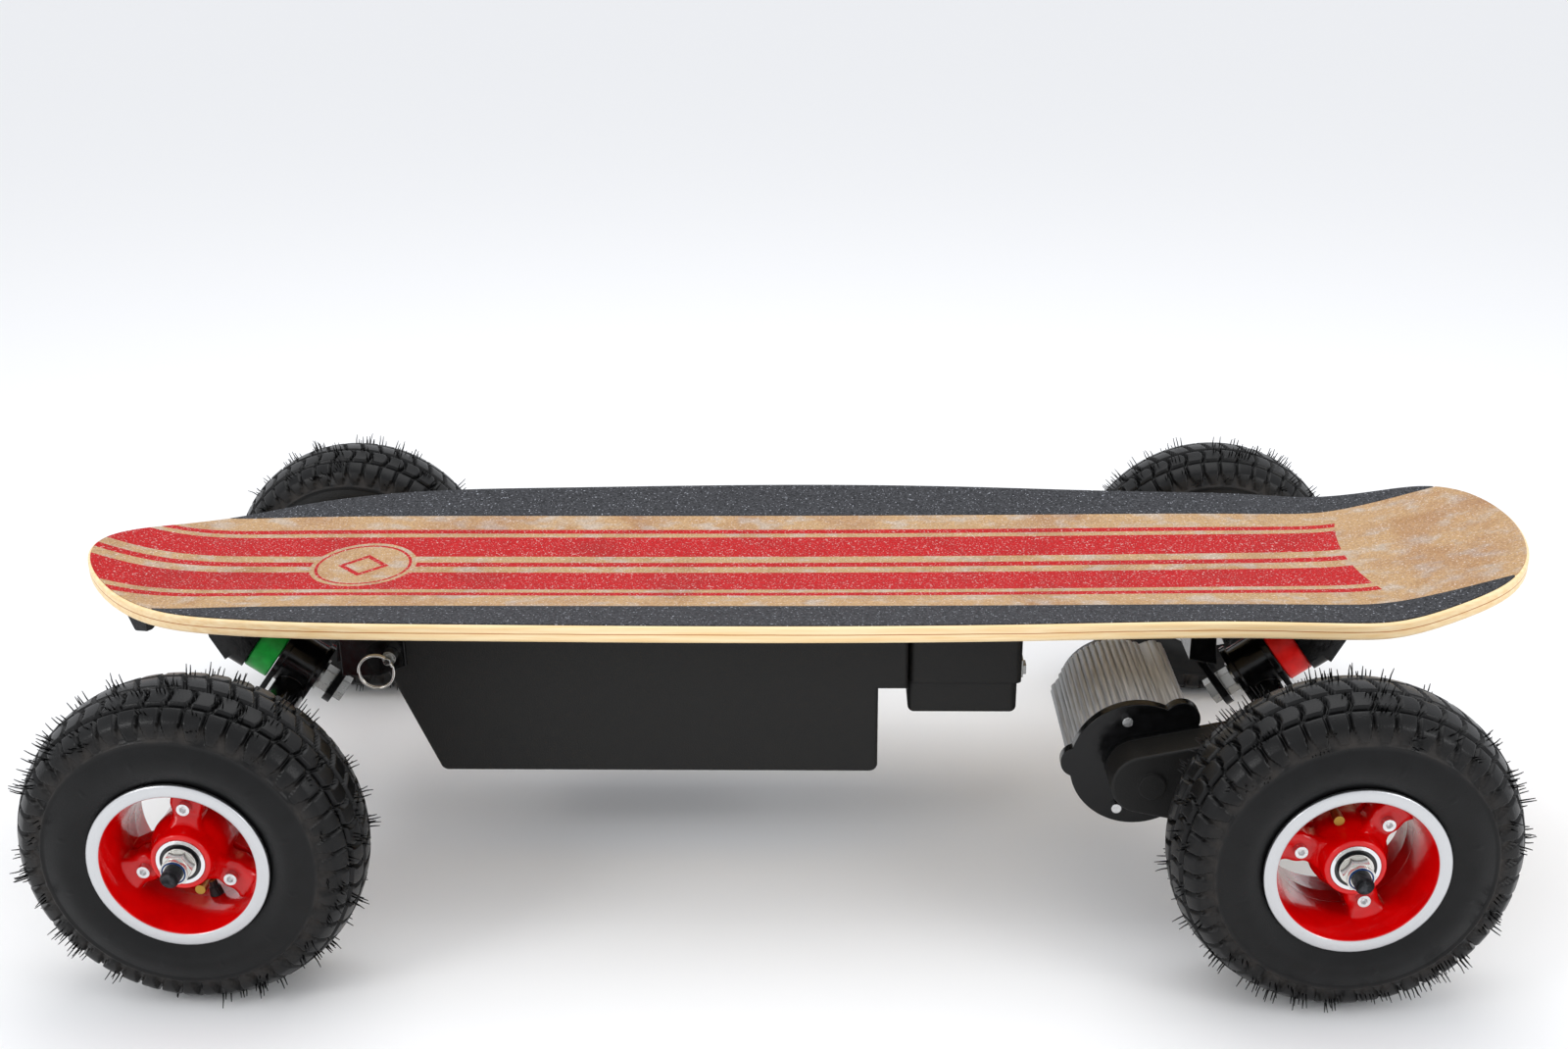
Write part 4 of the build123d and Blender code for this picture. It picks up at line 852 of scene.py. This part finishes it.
# %% Enamelled rim with a turned lip
# Powder enamel is a thick glossy coat with a slight orange-peel; the lip is bare turned metal.
enamel, tree, shader = finish("red_powder_enamel", "D40000", 0.0, 0.22, Coat_Weight=0.35,
                              Coat_Roughness=0.06, Specular_IOR_Level=0.3)
radius, out = wheel_places(tree)
lip = add(tree, "MapRange", {"Value": radius, "From Min": 50.8, "From Max": 51.3})
cuts = add(tree, "Math", {0: radius, 1: 14.0}, operation="MULTIPLY")
cuts = add(tree, "Math", {0: cuts}, operation="SINE")
tint = add(tree, "MapRange", {"Value": cuts, "From Min": -1, "From Max": 1, "To Min": 0.0, "To Max": 1.0})
bright = add(tree, "Mix", {0: tint, 6: rgb("B9BABC"), 7: rgb("DADBDC")}, 2, data_type="RGBA")
uneven = patches(tree, 20, 0.3, 0.7)
red = add(tree, "Mix", {0: uneven, 6: rgb("C00002"), 7: rgb("D80204")}, 2, data_type="RGBA")
wire(shader, Base_Color=add(tree, "Mix", {0: lip, 6: red, 7: bright}, 2, data_type="RGBA"), Metallic=lip,
     Roughness=add(tree, "MapRange", {"Value": lip, "To Min": 0.2, "To Max": 0.34}))
relief(shader, patches(tree, 3.5, 0.3, 0.7, detail=1), 0.05, round_mm=1.6)
FINISHES["red_enamel"] = enamel
for wheel, facts in WHEELS.items():
    place = (facts["middle"], facts["side"])
    arms = [arm(*place, math.radians(PHASES[wheel]) + k * TAU / 3) for k in range(3)]
    casting = mesh_of("rim_casting", turned(BARREL, *place), turned(HUB, *place), *arms)
    rim = piece(wheel + "_rim_casting", casting, enamel, wheel + "_wheel",
                [wheel + "_rim_outer"])
    rim.modifiers.new("edges", "EDGE_SPLIT").split_angle = math.radians(50)

# %% Bearings, nuts and axles
# Ground bearing steel: a bright ring, with a dark grease shield set back between the rings.
bearing, tree, shader = finish("ground_bearing_steel", "E2E2E4", 1.0, 0.16)
radius, out = wheel_places(tree)
shield = add(tree, "MapRange", {"Value": add(tree, "Math", {0: add(tree, "Math", {0: radius, 1: 11.3},
             operation="SUBTRACT")}, operation="ABSOLUTE"), "From Min": 2.3, "From Max": 2.0})
wire(shader,
     Base_Color=add(tree, "Mix", {0: shield, 6: rgb("E2E2E4"), 7: rgb("1B1C1E")}, 2, data_type="RGBA"),
     Metallic=add(tree, "MapRange", {"Value": shield, "To Min": 1.0, "To Max": 0.0}))
relief(shader, patches(tree, 2, 0.3, 0.7), 0.02, round_mm=0.5)
FINISHES["bearing_steel"] = bearing

# Nickel-plated locking nut: bright hexagon and washer, with a blue nylon ring let into its face.
nut, tree, shader = finish("nickel_plated_nut", "D6D5D0", 1.0, 0.2)
radius, out = wheel_places(tree)
face = add(tree, "Math", {0: out, 1: 289.6}, operation="GREATER_THAN")
ring = add(tree, "Math",
           {0: add(tree, "Math", {0: add(tree, "Math", {0: radius, 1: 7.4}, operation="SUBTRACT")},
           operation="ABSOLUTE"), 1: 0.6}, operation="LESS_THAN")
nylon = add(tree, "Math", {0: face, 1: ring}, operation="MULTIPLY")
wire(shader, Base_Color=add(tree, "Mix", {0: nylon, 6: rgb("D6D5D0"), 7: rgb("1D3768")}, 2, data_type="RGBA"),
     Metallic=add(tree, "Math", {0: 1.0, 1: nylon}, operation="SUBTRACT"))
relief(shader, patches(tree, 1.5, 0.3, 0.7), 0.03, round_mm=0.6)
FINISHES["nickel_steel"] = nut

# Black-oxided axle: dark satin steel, threaded at 1.5 mm along its ends.
oxide, tree, shader = finish("black_oxided_steel", "232426", 0.9, 0.34)
radius, out = wheel_places(tree)
thread = add(tree, "Math", {0: add(tree, "Math", {0: out, 1: TAU / 1.5}, operation="MULTIPLY")},
             operation="SINE")
wear = patches(tree, 5, 0.45, 0.75)
wire(shader, Base_Color=add(tree, "Mix", {0: wear, 6: rgb("1B1C1E"), 7: rgb("4A4B4E")}, 2, data_type="RGBA"))
relief(shader, thread, 0.45, round_mm=0.4)
FINISHES["black_steel"] = oxide
print(bearing.name, nut.name, oxide.name)

# %% Valve
# Brass stem in a rubber foot: warm and rubbed bright, knurled round its cap.
brass, tree, shader = finish("turned_brass_valve", "B08A3E", 1.0, 0.3)
radius, out = wheel_places(tree)
foot = add(tree, "MapRange", {"Value": radius, "From Min": 33.5, "From Max": 34.5})
ridge = add(tree, "Math", {0: add(tree, "Math", {0: out, 1: TAU / 1.1}, operation="MULTIPLY")},
            operation="SINE")
wire(shader, Base_Color=add(tree, "Mix", {0: foot, 6: rgb("A9853F"), 7: rgb("141415")}, 2, data_type="RGBA"),
     Metallic=add(tree, "Math", {0: 1.0, 1: foot}, operation="SUBTRACT"),
     Roughness=add(tree, "MapRange", {"Value": foot, "To Min": 0.3, "To Max": 0.55}))
relief(shader, ridge, 0.15, round_mm=0.4)
FINISHES["valve_brass"] = brass
print(brass.name)

# %% [markdown]
# The remaining parts share a few plain shop finishes.  Each is a colour that varies a little in
# patches of a real size, a roughness that varies with it, and a fine relief.

# %% Shop finishes
SHOP = {
    # slot: (name, darker, lighter, metallic, roughness low and high, patch mm, relief mm, edge mm)
    "black_powder_coat": ("black_powder_coat_gloss", "050505", "0D0D0E", 0.0, 0.12, 0.24, 6, 0.05, 1.6),
    "black_anodised": ("black_anodised_plate", "08080A", "131315", 0.2, 0.25, 0.4, 4, 0.04, 1.2),
    "black_abs": ("textured_black_abs", "0F0F0E", "171615", 0.0, 0.45, 0.6, 1.2, 0.08, 1.6),
    "black_rubber": ("moulded_black_rubber", "08080A", "121213", 0.0, 0.6, 0.8, 3, 0.10, 1.5),
    "belt_rubber": ("neoprene_belt", "121212", "1E1E1E", 0.0, 0.7, 0.85, 1.5, 0.12, 0.4),
    "zinc_steel": ("zinc_plated_steel", "8C8C8A", "A2A29F", 1.0, 0.24, 0.34, 6, 0.02, 0.7),
    "stainless_steel": ("stainless_socket_screw", "C4C4C4", "E6E6E6", 1.0, 0.14, 0.28, 2, 0.03, 0.5),
    "nickel_brass": ("nickel_plated_brass", "BDB9AC", "D9D6CB", 1.0, 0.18, 0.32, 3, 0.03, 0.6),
    "green_urethane": ("cast_green_urethane", "00852A", "0DA53A", 0.0, 0.3, 0.45, 8, 0.06, 1.2),
    "red_urethane": ("cast_red_urethane", "DB0606", "F51A14", 0.0, 0.3, 0.45, 8, 0.06, 1.2),
    "cell_case": ("blue_shrink_wrap", "1E3F86", "2C55A8", 0.0, 0.28, 0.42, 12, 0.05, 1.5),
    "circuit_board": ("solder_masked_board", "0F4A2A", "17653B", 0.0, 0.3, 0.5, 3, 0.05, 0.5),
}
for slot, (name, dark, light, metallic, smooth, rough, size_mm, depth_mm, edge_mm) in SHOP.items():
    made, tree, shader = finish(name, dark, metallic, rough, Specular_IOR_Level=0.5 if metallic else 0.3)
    cloud = patches(tree, size_mm, 0.3, 0.7, detail=4)
    wire(shader, Base_Color=add(tree, "Mix", {0: cloud, 6: rgb(dark), 7: rgb(light)}, 2, data_type="RGBA"),
         Roughness=add(tree, "MapRange", {"Value": cloud, "To Min": smooth, "To Max": rough}))
    relief(shader, cloud, depth_mm, round_mm=edge_mm)
    FINISHES[slot] = made
print(len(FINISHES), "finishes")

# %% Give every frame part its finish
slots = {entry["name"] if "name" in entry else entry["node"]: entry.get("material_slot") or entry.get("material")
         for entry in frame["record"]["subparts"]}
for name, node in frame["nodes"].items():
    slot = slots[name]
    if not node.data.materials:
        node.data.materials.append(FINISHES[slot])
    for place in range(len(node.data.materials)):
        node.data.materials[place] = FINISHES[slot]
print(len(frame["nodes"]), "frame parts finished")
